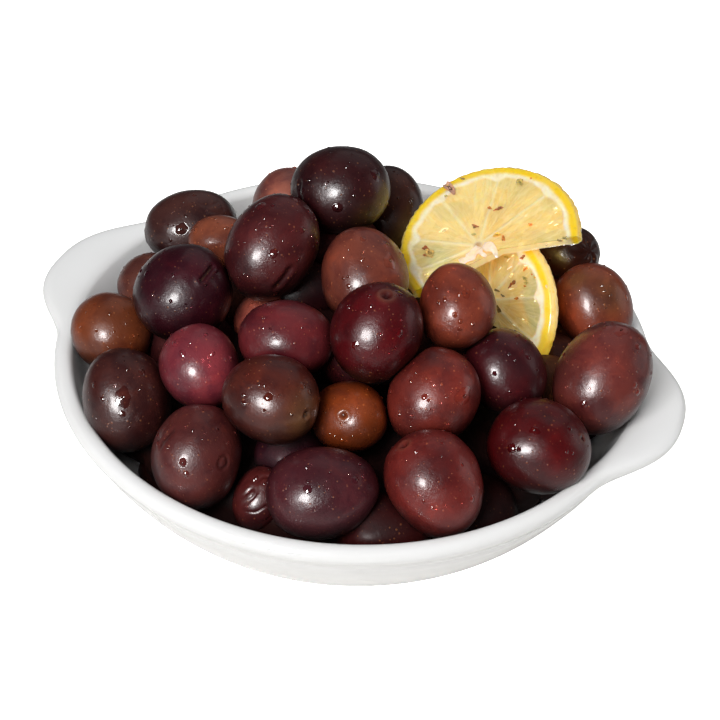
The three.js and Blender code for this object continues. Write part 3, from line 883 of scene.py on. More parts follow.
# Drops on the olives' fronts: place, half width and height in mm, how ragged the outline is. A place is
# a spot of the picture, or shares right and up of the olive's front.
DROPS = {
    1: [(Spot(183, 229), 1.9, 0.5, 0.22), (Spot(174, 240), 0.55, 0.35, 0), ((-0.42, 0), 0.4, 0.25, 0)],
    2: [((-0.77, 0.36), 1.5, 0.35, 0.2)],
    3: [((0.12, -0.28), 0.35, 0.25, 0), ((0.66, 0.4), 0.7, 0.3, 0.1), ((-0.75, 0.35), 0.9, 0.35, 0.2)],
    4: [(Spot(274, 253), 1.3, 0.65, 0), (Spot(301, 234), 1, 0.6, 0), (Spot(257, 209), 1.6, 0.8, 0.1),
        ((0.14, -0.3), 0.45, 0.3, 0), (Spot(295, 201), 1.3, 0.5, 0.15), ((0.84, 0.5), 0.7, 0.4, 0.1),
        ((0.96, 0.05), 0.7, 0.4, 0.1), (Spot(298, 260), 0.7, 0.4, 0.1), (Spot(280, 291), 0.9, 0.4, 0.1),
        ((0.26, 0.08), 0.35, 0.25, 0), ((0.48, -0.02), 0.35, 0.25, 0), ((-0.5, -0.5), 0.35, 0.25, 0)],
    5: [(Spot(337, 208), 1.5, 0.75, 0.05), (Spot(374, 175), 1.8, 0.25, 0.35),
        ((-0.77, -0.1), 1.3, 0.3, 0.3), (Spot(352, 196), 0.5, 0.35, 0), ((0.06, 0.25), 0.35, 0.25, 0),
        ((-0.25, 0.1), 0.35, 0.2, 0)],
    9: [(Spot(97, 331), 0.5, 0.3, 0.1), (Spot(114, 331), 0.4, 0.25, 0), (Spot(108, 347), 0.4, 0.25, 0)],
    10: [(Spot(143, 375), 1.1, 0.55, 0), ((0.01, 0.05), 2.6, 0.3, 0.4), (Spot(95, 388), 0.9, 0.35, 0.15),
         (Spot(102, 400), 0.7, 0.3, 0.2), ((0, -0.26), 1, 0.3, 0.3)],
    11: [(Spot(183, 354), 1.1, 0.6, 0), ((-0.55, 0.55), 1.3, 0.3, 0.25),
         (Spot(232, 356), 0.8, 0.45, 0.05)],
    12: [(Spot(184, 462), 1.2, 0.55, 0.1), (Spot(187, 472), 0.9, 0.5, 0.05),
         ((0.45, 0.55), 0.6, 0.3, 0.1)],
    13: [(Spot(245, 396), 0.7, 0.45, 0.1), (Spot(244.5, 405), 0.8, 0.45, 0.15),
         (Spot(268, 397.5), 1.2, 0.5, 0.2), (Spot(265, 385.5), 0.5, 0.3, 0.1),
         (Spot(301, 386), 1, 0.5, 0.1), ((0.8, 0.2), 0.9, 0.4, 0.1)],
    14: [(Spot(266, 328), 0.4, 0.25, 0), ((0.35, 0.3), 0.5, 0.3, 0)],
    15: [(Spot(252, 304), 1.4, 0.4, 0.35)],
    17: [(Spot(364, 240), 1, 0.5, 0.05), (Spot(362, 260), 0.8, 0.35, 0),
         (Spot(390, 262), 2.2, 0.35, 0.35), (Spot(348, 285), 0.7, 0.35, 0.3),
         ((0.5, 0.65), 1.2, 0.3, 0.3)],
    18: [(Spot(400, 335), 1, 0.45, 0.15), (Spot(356, 344), 1.1, 0.3, 0.3),
         ((0.34, 0.75), 1.4, 0.35, 0.3)],
    19: [(Spot(444, 301), 0.7, 0.4, 0.05), (Spot(466, 295), 1.3, 0.3, 0.35),
         (Spot(454, 314), 0.8, 0.3, 0.3), ((0.6, 0.5), 0.5, 0.3, 0)],
    20: [(Spot(529, 356), 1, 0.45, 0.15), ((0.72, 0.1), 0.5, 0.3, 0)],
    21: [(Spot(587.5, 326), 0.6, 0.35, 0.1), ((0.75, 0.3), 0.8, 0.4, 0.1), ((-0.1, 0.85), 0.9, 0.4, 0.2)],
    22: [(Spot(586, 400), 1.1, 0.5, 0.05), (Spot(638, 350), 1.2, 0.6, 0.05),
         (Spot(635, 387), 0.8, 0.4, 0.1), (Spot(638, 393), 0.9, 0.45, 0.1),
         (Spot(651, 378), 0.8, 0.45, 0.05), (Spot(618, 333), 2.2, 0.3, 0.35),
         ((-0.1, 0.9), 1.4, 0.3, 0.3)],
    23: [(Spot(513.7, 448.7), 1.3, 0.65, 0.05), (Spot(536, 431), 1.3, 0.3, 0.3),
         (Spot(581, 436), 0.8, 0.35, 0.2), ((0.3, -0.85), 0.6, 0.35, 0)],
    26: [(Spot(462.5, 397.5), 2.6, 0.4, 0.35), (Spot(424, 396), 0.9, 0.35, 0.15),
         (Spot(428, 400), 0.6, 0.3, 0.1), ((-0.55, 0.35), 0.5, 0.3, 0)],
    27: [(Spot(472.5, 496), 0.9, 0.5, 0.05), (Spot(462, 466), 0.6, 0.35, 0), ((0.1, 0.55), 0.5, 0.3, 0),
         ((-0.1, -0.4), 0.6, 0.3, 0.1)],
    28: [(Spot(310, 489), 1.2, 0.35, 0.3), ((0.55, 0.35), 1.1, 0.4, 0.15), ((0.1, 0.5), 0.6, 0.3, 0.1)],
}

SMALL_DROPS = 11
UPWARD = np.array([0, -0.2, 1])


def drop_shape(olive, way, half_width, height, ragged, seed):
    """A drop that clings to an olive: a dome over its skin, closed just under the skin, in the colour of the
    skin beneath it with painted light and shade.
    """
    rings, around = (7, 24) if half_width > 0.65 else (4, 14)
    first = unit(np.cross(way, [0.2, 0.1, 1]))
    second = np.cross(way, first)
    mean = (olive["length"] + 2 * olive["width"]) / 6
    angle = np.linspace(0, 2 * math.pi, around, endpoint=False)
    draws = np.random.default_rng(seed)
    outline = 1 + 0.6 * ragged * sum(draws.uniform(0.2, 0.6) * np.sin(k * angle + draws.uniform(0, 6.28))
                                     for k in (2, 3, 5))
    share = np.linspace(0, 1, rings + 1)[1:]
    spread = share[:, None] * outline[None, :] * half_width / mean
    flat = spread[..., None] * (np.cos(angle)[None, :, None] * first + np.sin(angle)[None, :, None] * second)
    ways = np.vstack([way[None, :], unit(way + flat.reshape(-1, 3))])
    base = skin(olive, ways)
    lift = np.concatenate([[1], np.repeat(np.clip(1 - share ** 2, 0, 1), around)]) * height * 0.62
    outward = unit(base - olive["middle"])
    top = base + outward * (lift - 0.03)[:, None]
    bottom = base - outward * 0.12
    fan = [(0, 1 + k, 1 + (k + 1) % around) for k in range(around)]
    quads = grid_faces(rings, around, True) + 1
    faces = fan + [tuple(quad) for quad in quads]
    count = len(top)
    under = [tuple(corner + count for corner in reversed(face)) for face in faces]
    last = 1 + (rings - 1) * around
    side = [(last + k, last + count + k, last + count + (k + 1) % around, last + (k + 1) % around)
            for k in range(around)]
    # Lighter in the middle and darker towards the rim: painted light and shade of the drop's dome.
    dome_shading = 1.12 - 0.3 * np.concatenate([[0], np.repeat(share ** 3, around)])
    tones = skin_colour_and_shade(olive, ways) * dome_shading[:, None]
    return np.vstack([top, bottom]), faces + under + side, np.vstack([tones, tones])


def make_drops(material):
    """The drops listed above, and small ones strewn over the upper side of every olive that shows."""
    placed = [(key, way_to(GROVE[key], place), *sizes)
              for key, drops in DROPS.items() for place, *sizes in drops]
    draws = np.random.default_rng(77)
    for key in FRONT_OLIVES + REAR_OLIVES:
        for _ in range(SMALL_DROPS):
            way = unit(draws.normal(size=3) + UPWARD * 0.9)
            half_width = 0.28 + 0.45 * draws.random() ** 1.6
            placed.append((key, way, half_width, half_width * 0.85, 0.25 * draws.random()))
    points, faces, tones, count = [], [], [], 0
    for number, (key, way, half_width, height, ragged) in enumerate(placed):
        shape, sides, colours = drop_shape(GROVE[key], way, half_width, height, ragged, 41 + number)
        points.append(shape)
        tones.append(colours)
        faces += [tuple(corner + count for corner in side) for side in sides]
        count += len(shape)
    return make_piece("brine_drops", np.vstack(points), faces, [material], colours={"tone": np.vstack(tones)})


# Drops on the slices: a spot of the picture, or mm across and uphill from the middle, and half width in mm.
SLICE_DROPS = {
    "upper": [
        (Spot(522, 230.5), 0.35), (Spot(535, 225), 0.3), (Spot(546.25, 215), 0.35), (Spot(555.5, 208), 0.5),
        (Spot(552, 221.25), 0.35), (Spot(547, 230), 0.3), (Spot(557.5, 223.75), 0.3),
        (Spot(529.5, 224), 0.25), (Spot(418.75, 233.75), 0.3), (Spot(430, 272.5), 0.7),
        ((-6.8, -17.6), 0.5), (Spot(435, 235), 0.25), ((14, 7.6), 0.3), ((8.3, 3.8), 0.3),
        ((-12.6, -3.4), 0.4), ((3.2, 11.5), 0.25),
    ],
    "lower": [
        (Spot(498.75, 270), 0.4), ((1.9, 14.7), 0.35), (Spot(507.5, 260), 0.4), (Spot(511.25, 256.25), 0.3),
        (Spot(517.5, 260), 0.35), (Spot(521.25, 256.25), 0.3), (Spot(525, 267.5), 0.5),
        (Spot(522, 297.5), 0.5), (Spot(515, 300), 0.4), (Spot(522.5, 320), 0.5), (Spot(526.25, 322.5), 0.4),
        (Spot(520, 322.5), 0.4), (Spot(528.75, 267.5), 0.4), (Spot(502.5, 275), 0.3),
        (Spot(535, 300), 0.45), (Spot(512, 275), 0.4), (Spot(525, 278.75), 0.3), ((13, 2.4), 0.4),
    ],
}


def make_slice_drops(material):
    """Low domes of brine that sit on the slices' faces."""
    ways, triangles = round_ball(4)
    draws = np.random.default_rng(31)
    points, faces = [], []
    for name, drops in SLICE_DROPS.items():
        cut = SLICES[name]
        for place, half_width in drops:
            across, uphill = (round(float(size), 1) for size in met_on(cut, place))
            ground = slice_face_height(cut, np.array([across]), np.array([uphill]), 1)[0]
            turn, long_way = draws.uniform(0, math.pi), draws.uniform(1, 1.7)
            x, y = ways[:, 0] * half_width * long_way, ways[:, 1] * half_width
            flat = np.stack([across + x * math.cos(turn) - y * math.sin(turn),
                             uphill + x * math.sin(turn) + y * math.cos(turn),
                             ground + ways[:, 2] * half_width * 0.7], axis=1)
            faces.append(triangles + len(points) * len(ways))
            points.append(slice_place(cut, flat))
    return make_piece("brine_on_lemon", np.vstack(points), np.vstack(faces), [material])


def plain_mesh(piece, name):
    """Turns a piece with live nodes into a plain mesh object."""
    graph = bpy.context.evaluated_depsgraph_get()
    mesh = bpy.data.meshes.new_from_object(piece.evaluated_get(graph))
    mesh.name = name
    made = bpy.data.objects.new(name, mesh)
    bpy.context.collection.objects.link(made)
    bpy.data.objects.remove(piece)
    return made


def bead_nodes(material):
    """Geometry nodes that sprinkle small beads of brine over a skin, thicker where it faces up."""
    tree = bpy.data.node_groups.new("brine beads", "GeometryNodeTree")
    face = tree.interface
    face.new_socket("Skin", in_out="INPUT", socket_type="NodeSocketGeometry")
    for label, value in (("Beads per square metre", 6000.0), ("Closest", 0.0012), ("Smallest", 0.00018),
                         ("Largest", 0.0006)):
        face.new_socket(label, in_out="INPUT", socket_type="NodeSocketFloat").default_value = value
    face.new_socket("Seed", in_out="INPUT", socket_type="NodeSocketInt").default_value = 4
    face.new_socket("Beads", in_out="OUTPUT", socket_type="NodeSocketGeometry")
    make, join = tree.nodes.new, tree.links.new
    given, made = make("NodeGroupInput"), make("NodeGroupOutput")
    spread = make("GeometryNodeDistributePointsOnFaces")
    spread.distribute_method = "POISSON"
    join(given.outputs["Skin"], spread.inputs["Mesh"])
    join(given.outputs["Closest"], spread.inputs["Distance Min"])
    join(given.outputs["Beads per square metre"], spread.inputs["Density Max"])
    join(given.outputs["Seed"], spread.inputs["Seed"])
    normal = make("GeometryNodeInputNormal")
    parts = make("ShaderNodeSeparateXYZ")
    ramp = make("ShaderNodeMapRange")
    join(normal.outputs["Normal"], parts.inputs["Vector"])
    join(parts.outputs["Z"], ramp.inputs["Value"])
    ramp.inputs["From Min"].default_value = -0.3
    ramp.inputs["From Max"].default_value = 0.7
    join(ramp.outputs["Result"], spread.inputs["Density Factor"])
    bead = make("GeometryNodeMeshUVSphere")
    bead.inputs["Segments"].default_value = 8
    bead.inputs["Rings"].default_value = 6
    bead.inputs["Radius"].default_value = 1.0
    smooth = make("GeometryNodeSetShadeSmooth")
    join(bead.outputs["Mesh"], smooth.inputs["Geometry"])
    size = make("FunctionNodeRandomValue")
    size.data_type = "FLOAT"
    join(given.outputs["Smallest"], size.inputs[2])
    join(given.outputs["Largest"], size.inputs[3])
    join(given.outputs["Seed"], size.inputs["Seed"])
    flat = make("ShaderNodeVectorMath")
    flat.operation = "MULTIPLY"
    flat.inputs[1].default_value = (1, 1, 0.6)
    join(size.outputs[1], flat.inputs[0])
    place = make("GeometryNodeInstanceOnPoints")
    join(spread.outputs["Points"], place.inputs["Points"])
    join(smooth.outputs["Geometry"], place.inputs["Instance"])
    join(spread.outputs["Rotation"], place.inputs["Rotation"])
    join(flat.outputs["Vector"], place.inputs["Scale"])
    real, paint = make("GeometryNodeRealizeInstances"), make("GeometryNodeSetMaterial")
    paint.inputs["Material"].default_value = material
    join(place.outputs["Instances"], real.inputs["Geometry"])
    join(real.outputs["Geometry"], paint.inputs["Geometry"])
    join(paint.outputs["Geometry"], made.inputs["Beads"])
    return tree


def make_beads(material):
    ways, triangles = round_ball(9)
    keys = FRONT_OLIVES + REAR_OLIVES
    points = np.vstack([skin(GROVE[key], ways) for key in keys])
    faces = np.vstack([triangles + number * len(ways) for number in range(len(keys))])
    under = make_piece("bead_skins", points, faces, [])
    tree = bead_nodes(material)
    live = under.modifiers.new("beads", "NODES")
    live.node_group = tree
    sizes = {"Beads per square metre": 26000.0, "Closest": 0.0011, "Smallest": 0.0001, "Largest": 0.00048,
             "Seed": 4}
    for item in tree.interface.items_tree:
        if item.in_out == "INPUT" and item.name in sizes:
            live[item.identifier] = sizes[item.name]
    return plain_mesh(under, "brine_beads")


# ---- herbs ---------------------------------------------------------------------------------------

DARK_LEAF = (0.27, 0.18, 0.06)
GREEN_LEAF = (0.45, 0.36, 0.1)
BROWN_LEAF = (0.34, 0.12, 0.03)
RED_LEAF = (0.36, 0.1, 0.026)
ORANGE_LEAF = (0.6, 0.2, 0.022)
PINK_LEAF = (0.37, 0.205, 0.14)
TAN_LEAF = (0.5, 0.34, 0.1)
GOLD_LEAF = (0.66, 0.36, 0.03)
PALE_LEAF = (0.8, 0.66, 0.35)

Flake = namedtuple("Flake", "across uphill length width turn colour")


def lying(name, start, end, length, width, colour, **moved):
    """A flake on a slice, from the two spots that show its ends, and what was moved."""
    first, last = met_on(SLICES[name], start), met_on(SLICES[name], end)
    middle, run = (first + last) / 2, last - first
    turn = round(math.degrees(math.atan2(run[1], run[0]))) % 180
    flake = Flake(round(middle[0], 1), round(middle[1], 1), length, width, turn, colour)
    return flake._replace(**moved)


# Flakes on each slice: across and uphill from its middle, length and width in mm, turn, colour. Most lie
# between two spots of the camera's picture, and the others were placed one by one.
FLAKES = {
    "upper": [
        lying("upper", Spot(444.6, 183), Spot(454.4, 193.9), 5, 2.2, PINK_LEAF, uphill=6.8),
        lying("upper", Spot(460.1, 177.8), Spot(464.9, 179.7), 1.7, 0.7, DARK_LEAF),
        Flake(-19.7, 4.2, 1.1, 0.7, 40, GREEN_LEAF),
        lying("upper", Spot(516.9, 177.8), Spot(521.5, 184.7), 2.5, 1.5, GREEN_LEAF),
        Flake(-5.6, 19.5, 1.2, 0.6, 100, DARK_LEAF),
        lying("upper", Spot(494.6, 210.5), Spot(505.1, 204.8), 1.7, 0.9, BROWN_LEAF),
        Flake(-5, 8.6, 1.6, 0.5, 60, RED_LEAF),
        lying("upper", Spot(487.7, 207), Spot(491.1, 208.2), 1.2, 0.8, ORANGE_LEAF),
        lying("upper", Spot(471.6, 224.3), Spot(478.5, 226.6), 2.1, 0.8, BROWN_LEAF),
        Flake(-6.1, 1, 0.9, 0.5, 50, DARK_LEAF),
        lying("upper", Spot(469.3, 234.6), Spot(476.2, 233.5), 1.8, 0.7, GREEN_LEAF),
        lying("upper", Spot(502.6, 234.6), Spot(503.2, 240.4), 1.9, 0.9, ORANGE_LEAF),
        lying("upper", Spot(422, 246), Spot(429.7, 250.7), 2.4, 1.3, RED_LEAF),
        lying("upper", Spot(427, 249), Spot(434.5, 256), 3.4, 2.1, TAN_LEAF, across=-10.8, uphill=-12),
        lying("upper", Spot(422.5, 254), Spot(427, 255.5), 1.5, 0.6, BROWN_LEAF),
        Flake(-10.2, -12.7, 1.2, 0.6, 70, GREEN_LEAF),
        lying("upper", Spot(556, 240.4), Spot(561.1, 241.7), 1.7, 0.6, DARK_LEAF, uphill=10.4),
        lying("upper", Spot(562.9, 239.2), Spot(566.9, 240.4), 1.4, 0.9, GREEN_LEAF, across=16.9,
              uphill=11.8),
        lying("upper", Spot(528.4, 223.1), Spot(531.9, 224.3), 1.2, 0.9, ORANGE_LEAF),
        lying("upper", Spot(530.1, 177.8), Spot(531.9, 178.9), 0.7, 0.5, ORANGE_LEAF, turn=0),
        Flake(-12.6, -4.4, 2.6, 1.1, 62, PALE_LEAF),
        lying("upper", Spot(475.6, 251.3), Spot(479.6, 252.4), 1.3, 0.7, GREEN_LEAF),
        lying("upper", Spot(491.7, 235.8), Spot(501.4, 232.9), 2.4, 1.1, GOLD_LEAF),
    ],
    "lower": [
        lying("lower", Spot(520.5, 259.1), Spot(525.1, 255.7), 1.8, 0.9, BROWN_LEAF),
        lying("lower", Spot(522.8, 270.6), Spot(526.7, 266.8), 1.6, 0.8, ORANGE_LEAF),
        lying("lower", Spot(530.5, 274), Spot(531.6, 274.6), 0.6, 0.4, ORANGE_LEAF, turn=0),
        lying("lower", Spot(533.9, 277), Spot(535, 278.3), 0.7, 0.5, GOLD_LEAF, turn=30),
        lying("lower", Spot(508.3, 287.4), Spot(515.2, 279), 1.6, 1, BROWN_LEAF, across=7.3, uphill=12.4),
        Flake(6.8, 11.4, 1.9, 0.6, 80, RED_LEAF),
        lying("lower", Spot(519.8, 275.2), Spot(529, 282.8), 1.8, 1, GREEN_LEAF),
        Flake(10.8, 14.1, 1.4, 0.8, 30, GREEN_LEAF),
        lying("lower", Spot(509.5, 277.5), Spot(512.1, 273.7), 1.4, 0.8, PALE_LEAF),
        lying("lower", Spot(493.8, 289), Spot(499.1, 291.3), 1.8, 0.6, DARK_LEAF),
        lying("lower", Spot(500.3, 294.3), Spot(504.5, 298.1), 1.7, 0.5, DARK_LEAF),
        lying("lower", Spot(514.8, 298.9), Spot(517.9, 298.1), 1.2, 0.7, ORANGE_LEAF),
        lying("lower", Spot(496.8, 305.8), Spot(500.3, 312.7), 2.3, 1.1, DARK_LEAF),
        lying("lower", Spot(523.2, 285.9), Spot(525.1, 286.3), 0.8, 0.5, ORANGE_LEAF),
        lying("lower", Spot(503.3, 256.5), Spot(509.1, 258), 1.9, 0.7, GREEN_LEAF),
        lying("lower", Spot(546.2, 284.4), Spot(547, 288.2), 1, 0.6, PALE_LEAF),
    ],
}

GLINT_WHITE = (0.95, 0.9, 0.75)
# Pale slivers of pulp on the slices that glow white in the flesh material: painted glints. Across and uphill
# from the middle, length and width in mm, turn, colour.
PULP_GLINTS = {
    "upper": [(12, 13.6, 1, 0.28, 60, GLINT_WHITE), (10.4, 13.2, 1, 0.24, 55, GLINT_WHITE),
              (9.4, 16.6, 0.8, 0.24, 70, GLINT_WHITE)],
    "lower": [
        (1.7, 13.9, 1.4, 0.28, 75, GLINT_WHITE), (2.9, 17, 1.4, 0.28, 70, GLINT_WHITE),
        (3.6, 18.6, 0.8, 0.24, 65, GLINT_WHITE), (4.3, 15.4, 1.8, 0.24, 60, GLINT_WHITE),
        (6.5, 18.9, 0.7, 0.28, 40, GLINT_WHITE), (8.5, 18.1, 0.9, 0.32, 30, GLINT_WHITE),
        (11.4, 10.6, 1, 0.28, 20, GLINT_WHITE), (10, 8.9, 0.8, 0.24, 15, GLINT_WHITE),
        (14.6, 5.2, 1, 0.28, 10, GLINT_WHITE), (13, 2.6, 1, 0.24, 0, GLINT_WHITE),
        (7.4, 10.6, 1.5, 0.24, 35, GLINT_WHITE),
    ],
}


def make_flakes(title, lists, material):
    """Thin curled scraps that lie on the slices' faces."""
    points, faces, colours, count = [], [], [], 0
    draws = np.random.default_rng(21)
    for name, flakes in lists.items():
        cut = SLICES[name]
        for across, uphill, length, width, turn, colour in flakes:
            around, rings = 14, 3
            angle = np.linspace(0, 2 * math.pi, around, endpoint=False)
            outline = 1 + 0.17 * np.sin(3 * angle + draws.uniform(0, 6))
            outline = outline + 0.12 * np.sin(4 * angle + draws.uniform(0, 6))
            share = np.linspace(0, 1, rings + 1)[1:]
            x = np.concatenate([[0], (share[:, None] * outline * np.cos(angle)).ravel()]) * length / 2
            y = np.concatenate([[0], (share[:, None] * outline * np.sin(angle)).ravel()]) * width / 2
            curl = draws.uniform(0.1, 0.35)
            z = curl * (y / (width / 2)) ** 2 * width * 0.5 + 0.1 * np.sin(x * 3 + draws.uniform(0, 6))
            sway = math.radians(turn)
            ground = slice_face_height(cut, np.array([across]), np.array([uphill]), 1)[0]
            flat = np.stack([across + x * math.cos(sway) - y * math.sin(sway),
                             uphill + x * math.sin(sway) + y * math.cos(sway), ground + 0.14 + z], axis=1)
            shape = np.vstack([flat, flat - [0, 0, 0.12]])
            fan = [(0, 1 + k, 1 + (k + 1) % around) for k in range(around)]
            top = fan + [tuple(quad) for quad in grid_faces(rings, around, True) + 1]
            half = len(flat)
            under = [tuple(corner + half for corner in reversed(face)) for face in top]
            last = 1 + (rings - 1) * around
            side = [(last + k, last + half + k, last + half + (k + 1) % around, last + (k + 1) % around)
                    for k in range(around)]
            points.append(slice_place(cut, shape))
            colours.append(np.repeat(np.array(colour)[None, :] * draws.uniform(0.8, 1.3), len(shape), axis=0))
            faces += [tuple(corner + count for corner in face) for face in top + under + side]
            count += len(shape)
    # A glow share of 0.6: the flesh material turns it into painted light, the herb material does not read it.
    tones = np.vstack(colours)
    return make_piece(title, np.vstack(points), faces, [material], colours={"tone": tones},
                      shares={"pith": np.ones(count), "painted_glow": np.full(count, 0.6)})


# ---- core of the heap ----------------------------------------------------------------------------

CORE_LINE = [(0, 7), (46, 7), (57, 10), (63, 14), (67, 20), (66, 24), (58, 28), (48, 31), (36, 33),
             (20, 42), (0, 46)]


def make_core(material):
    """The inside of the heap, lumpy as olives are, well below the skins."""
    line = rounded(CORE_LINE, 2)
    columns = 120
    bearings = np.linspace(0, 2 * math.pi, columns, endpoint=False)
    reach = line[:, 0][:, None] * (1 - 0.14 * smooth_step(-0.1, 0.6, np.sin(bearings)))[None, :]
    points = np.stack([reach * np.cos(bearings), reach * np.sin(bearings),
                       np.repeat(line[:, 1][:, None], columns, axis=1)], axis=2).reshape(-1, 3)
    lumps = np.abs(ripple(points, 26, 77, 6))
    away = unit(points - [0, 0, 20])
    points = points + away * (lumps * 3 - 3)[:, None]
    points[:, 2] = np.maximum(points[:, 2], 6.5)
    points = settle_in_dish(points)
    first, faces = welded(points, grid_faces(len(line), columns, True))
    # The inside of the heap takes the near-black material: painted shade.
    return make_piece("heap_core", points[first], faces, [material])


# ---- materials -----------------------------------------------------------------------------------

class Tree:
    """Adds nodes to a node tree and joins them by the names of their sockets."""

    def __init__(self, tree):
        self.tree = tree

    def add(self, kind, settings=None, **inputs):
        node = self.tree.nodes.new(kind)
        for key, value in (settings or {}).items():
            setattr(node, key, value)
        for key, value in inputs.items():
            socket = node.inputs[int(key[1:])] if key[0] == "_" else node.inputs[key.replace("_", " ")]
            self.put(socket, value)
        return node

    def put(self, socket, value):
        if isinstance(value, bpy.types.NodeSocket):
            self.tree.links.new(value, socket)
        else:
            socket.default_value = value

    def math(self, operation, first, second=0.0, third=0.0):
        return self.add("ShaderNodeMath", {"operation": operation}, _0=first, _1=second, _2=third).outputs[0]

    def mix(self, share, first, second, blend="MIX"):
        node = self.add("ShaderNodeMix", {"data_type": "RGBA", "blend_type": blend})
        self.put(node.inputs[0], share)
        self.put(node.inputs[6], first)
        self.put(node.inputs[7], second)
        return node.outputs[2]

    def ramp(self, value, low, high, out_low=0.0, out_high=1.0):
        node = self.add("ShaderNodeMapRange", {"interpolation_type": "SMOOTHSTEP"}, Value=value)
        for label, number in (("From Min", low), ("From Max", high), ("To Min", out_low),
                              ("To Max", out_high)):
            self.put(node.inputs[label], number)
        return node.outputs["Result"]


def new_group(name, inputs, outputs):
    tree = bpy.data.node_groups.new(name, "ShaderNodeTree")
    for label, kind, value in inputs:
        socket = tree.interface.new_socket(label, in_out="INPUT", socket_type=kind)
        if value is not None:
            socket.default_value = value
    for label, kind in outputs:
        tree.interface.new_socket(label, in_out="OUTPUT", socket_type=kind)
    given, result = tree.nodes.new("NodeGroupInput"), tree.nodes.new("NodeGroupOutput")
    return tree, Tree(tree), given.outputs, result.inputs


FLOAT, COLOUR, VECTOR = "NodeSocketFloat", "NodeSocketColor", "NodeSocketVector"


def speck_group():
    """Small round specks, one in some of the cells of a Voronoi pattern."""
    group, tree, given, made = new_group(
        "specks", [("Vector", VECTOR, None), ("Per metre", FLOAT, 400.0), ("Size", FLOAT, 0.1),
                   ("Share", FLOAT, 0.5)],
        [("Mask", FLOAT)])
    cells = tree.add("ShaderNodeTexVoronoi", Vector=given["Vector"], Scale=given["Per metre"])
    parts = tree.add("ShaderNodeSeparateColor", Color=cells.outputs["Color"])
    chosen = tree.math("LESS_THAN", parts.outputs[0], given["Share"])
    size = tree.math("MULTIPLY", given["Size"], tree.math("ADD", parts.outputs[1], 0.45))
    inner = tree.math("MULTIPLY", size, 0.45)
    round_spot = tree.ramp(cells.outputs["Distance"], inner, size, 1.0, 0.0)
    tree.put(made["Mask"], tree.math("MULTIPLY", round_spot, chosen))
    return group


def cloud_group():
    """Soft clouds that mix two colours."""
    group, tree, given, made = new_group(
        "clouds", [("Vector", VECTOR, None), ("Per metre", FLOAT, 150.0), ("Low", FLOAT, 0.4),
                   ("High", FLOAT, 0.6),
                   ("Strength", FLOAT, 1.0), ("First", COLOUR, (1, 1, 1, 1)),
                   ("Second", COLOUR, (0, 0, 0, 1))],
        [("Color", COLOUR), ("Mask", FLOAT)])
    noise = tree.add("ShaderNodeTexNoise", Vector=given["Vector"], Scale=given["Per metre"], Detail=4.0,
                     Roughness=0.6, Distortion=0.4)
    mask = tree.math("MULTIPLY", tree.ramp(noise.outputs[0], given["Low"], given["High"]), given["Strength"])
    tree.put(made["Color"], tree.mix(mask, given["First"], given["Second"]))
    tree.put(made["Mask"], mask)
    return group


def wet_group():
    """The uneven film of a wet skin: a roughness and a height."""
    group, tree, given, made = new_group(
        "wet film", [("Vector", VECTOR, None), ("Per metre", FLOAT, 700.0), ("Dry", FLOAT, 0.4),
                     ("Wet", FLOAT, 0.15)],
        [("Roughness", FLOAT), ("Height", FLOAT)])
    broad = tree.add("ShaderNodeTexNoise", Vector=given["Vector"],
                     Scale=tree.math("MULTIPLY", given["Per metre"], 0.2), Detail=3.0)
    fine = tree.add("ShaderNodeTexNoise", Vector=given["Vector"], Scale=given["Per metre"], Detail=5.0,
                    Roughness=0.55)
    film = tree.ramp(broad.outputs[0], 0.35, 0.65)
    tree.put(made["Roughness"], tree.ramp(film, 0.0, 1.0, given["Dry"], given["Wet"]))
    height = tree.math("ADD", tree.math("MULTIPLY", fine.outputs[0], 0.6),
                       tree.math("MULTIPLY", broad.outputs[0], 0.8))
    tree.put(made["Height"], height)
    return group


SPECKS, CLOUDS, WET = speck_group(), cloud_group(), wet_group()


def new_material(name):
    material = bpy.data.materials.new(name)
    material.use_nodes = True
    material.node_tree.nodes.clear()
    tree = Tree(material.node_tree)
    shader = tree.add("ShaderNodeBsdfPrincipled")
    output = tree.add("ShaderNodeOutputMaterial")
    tree.put(output.inputs["Surface"], shader.outputs[0])
    where = tree.add("ShaderNodeTexCoord").outputs["Object"]
    return material, tree, shader, where


def set_shader(shader, **values):
    for key, value in values.items():
        shader.inputs[key.replace("_", " ")].default_value = value


def bump(tree, shader, height, distance, strength=1.0):
    node = tree.add("ShaderNodeBump", Height=height, Distance=distance, Strength=strength)
    tree.put(shader.inputs["Normal"], node.outputs[0])


def let_light_through(tree, shader, tint, share):
    """Lets a share of the light that casts shadows pass, tinted."""
    clear, pick = tree.add("ShaderNodeBsdfTransparent", Color=tint), tree.add("ShaderNodeMixShader")
    shadow = tree.add("ShaderNodeLightPath").outputs["Is Shadow Ray"]
    tree.put(pick.inputs[0], tree.math("MULTIPLY", shadow, share))
    tree.put(pick.inputs[1], shader.outputs[0])
    tree.put(pick.inputs[2], clear.outputs[0])
    output = next(node for node in tree.tree.nodes if node.type == "OUTPUT_MATERIAL")
    tree.put(output.inputs["Surface"], pick.outputs[0])


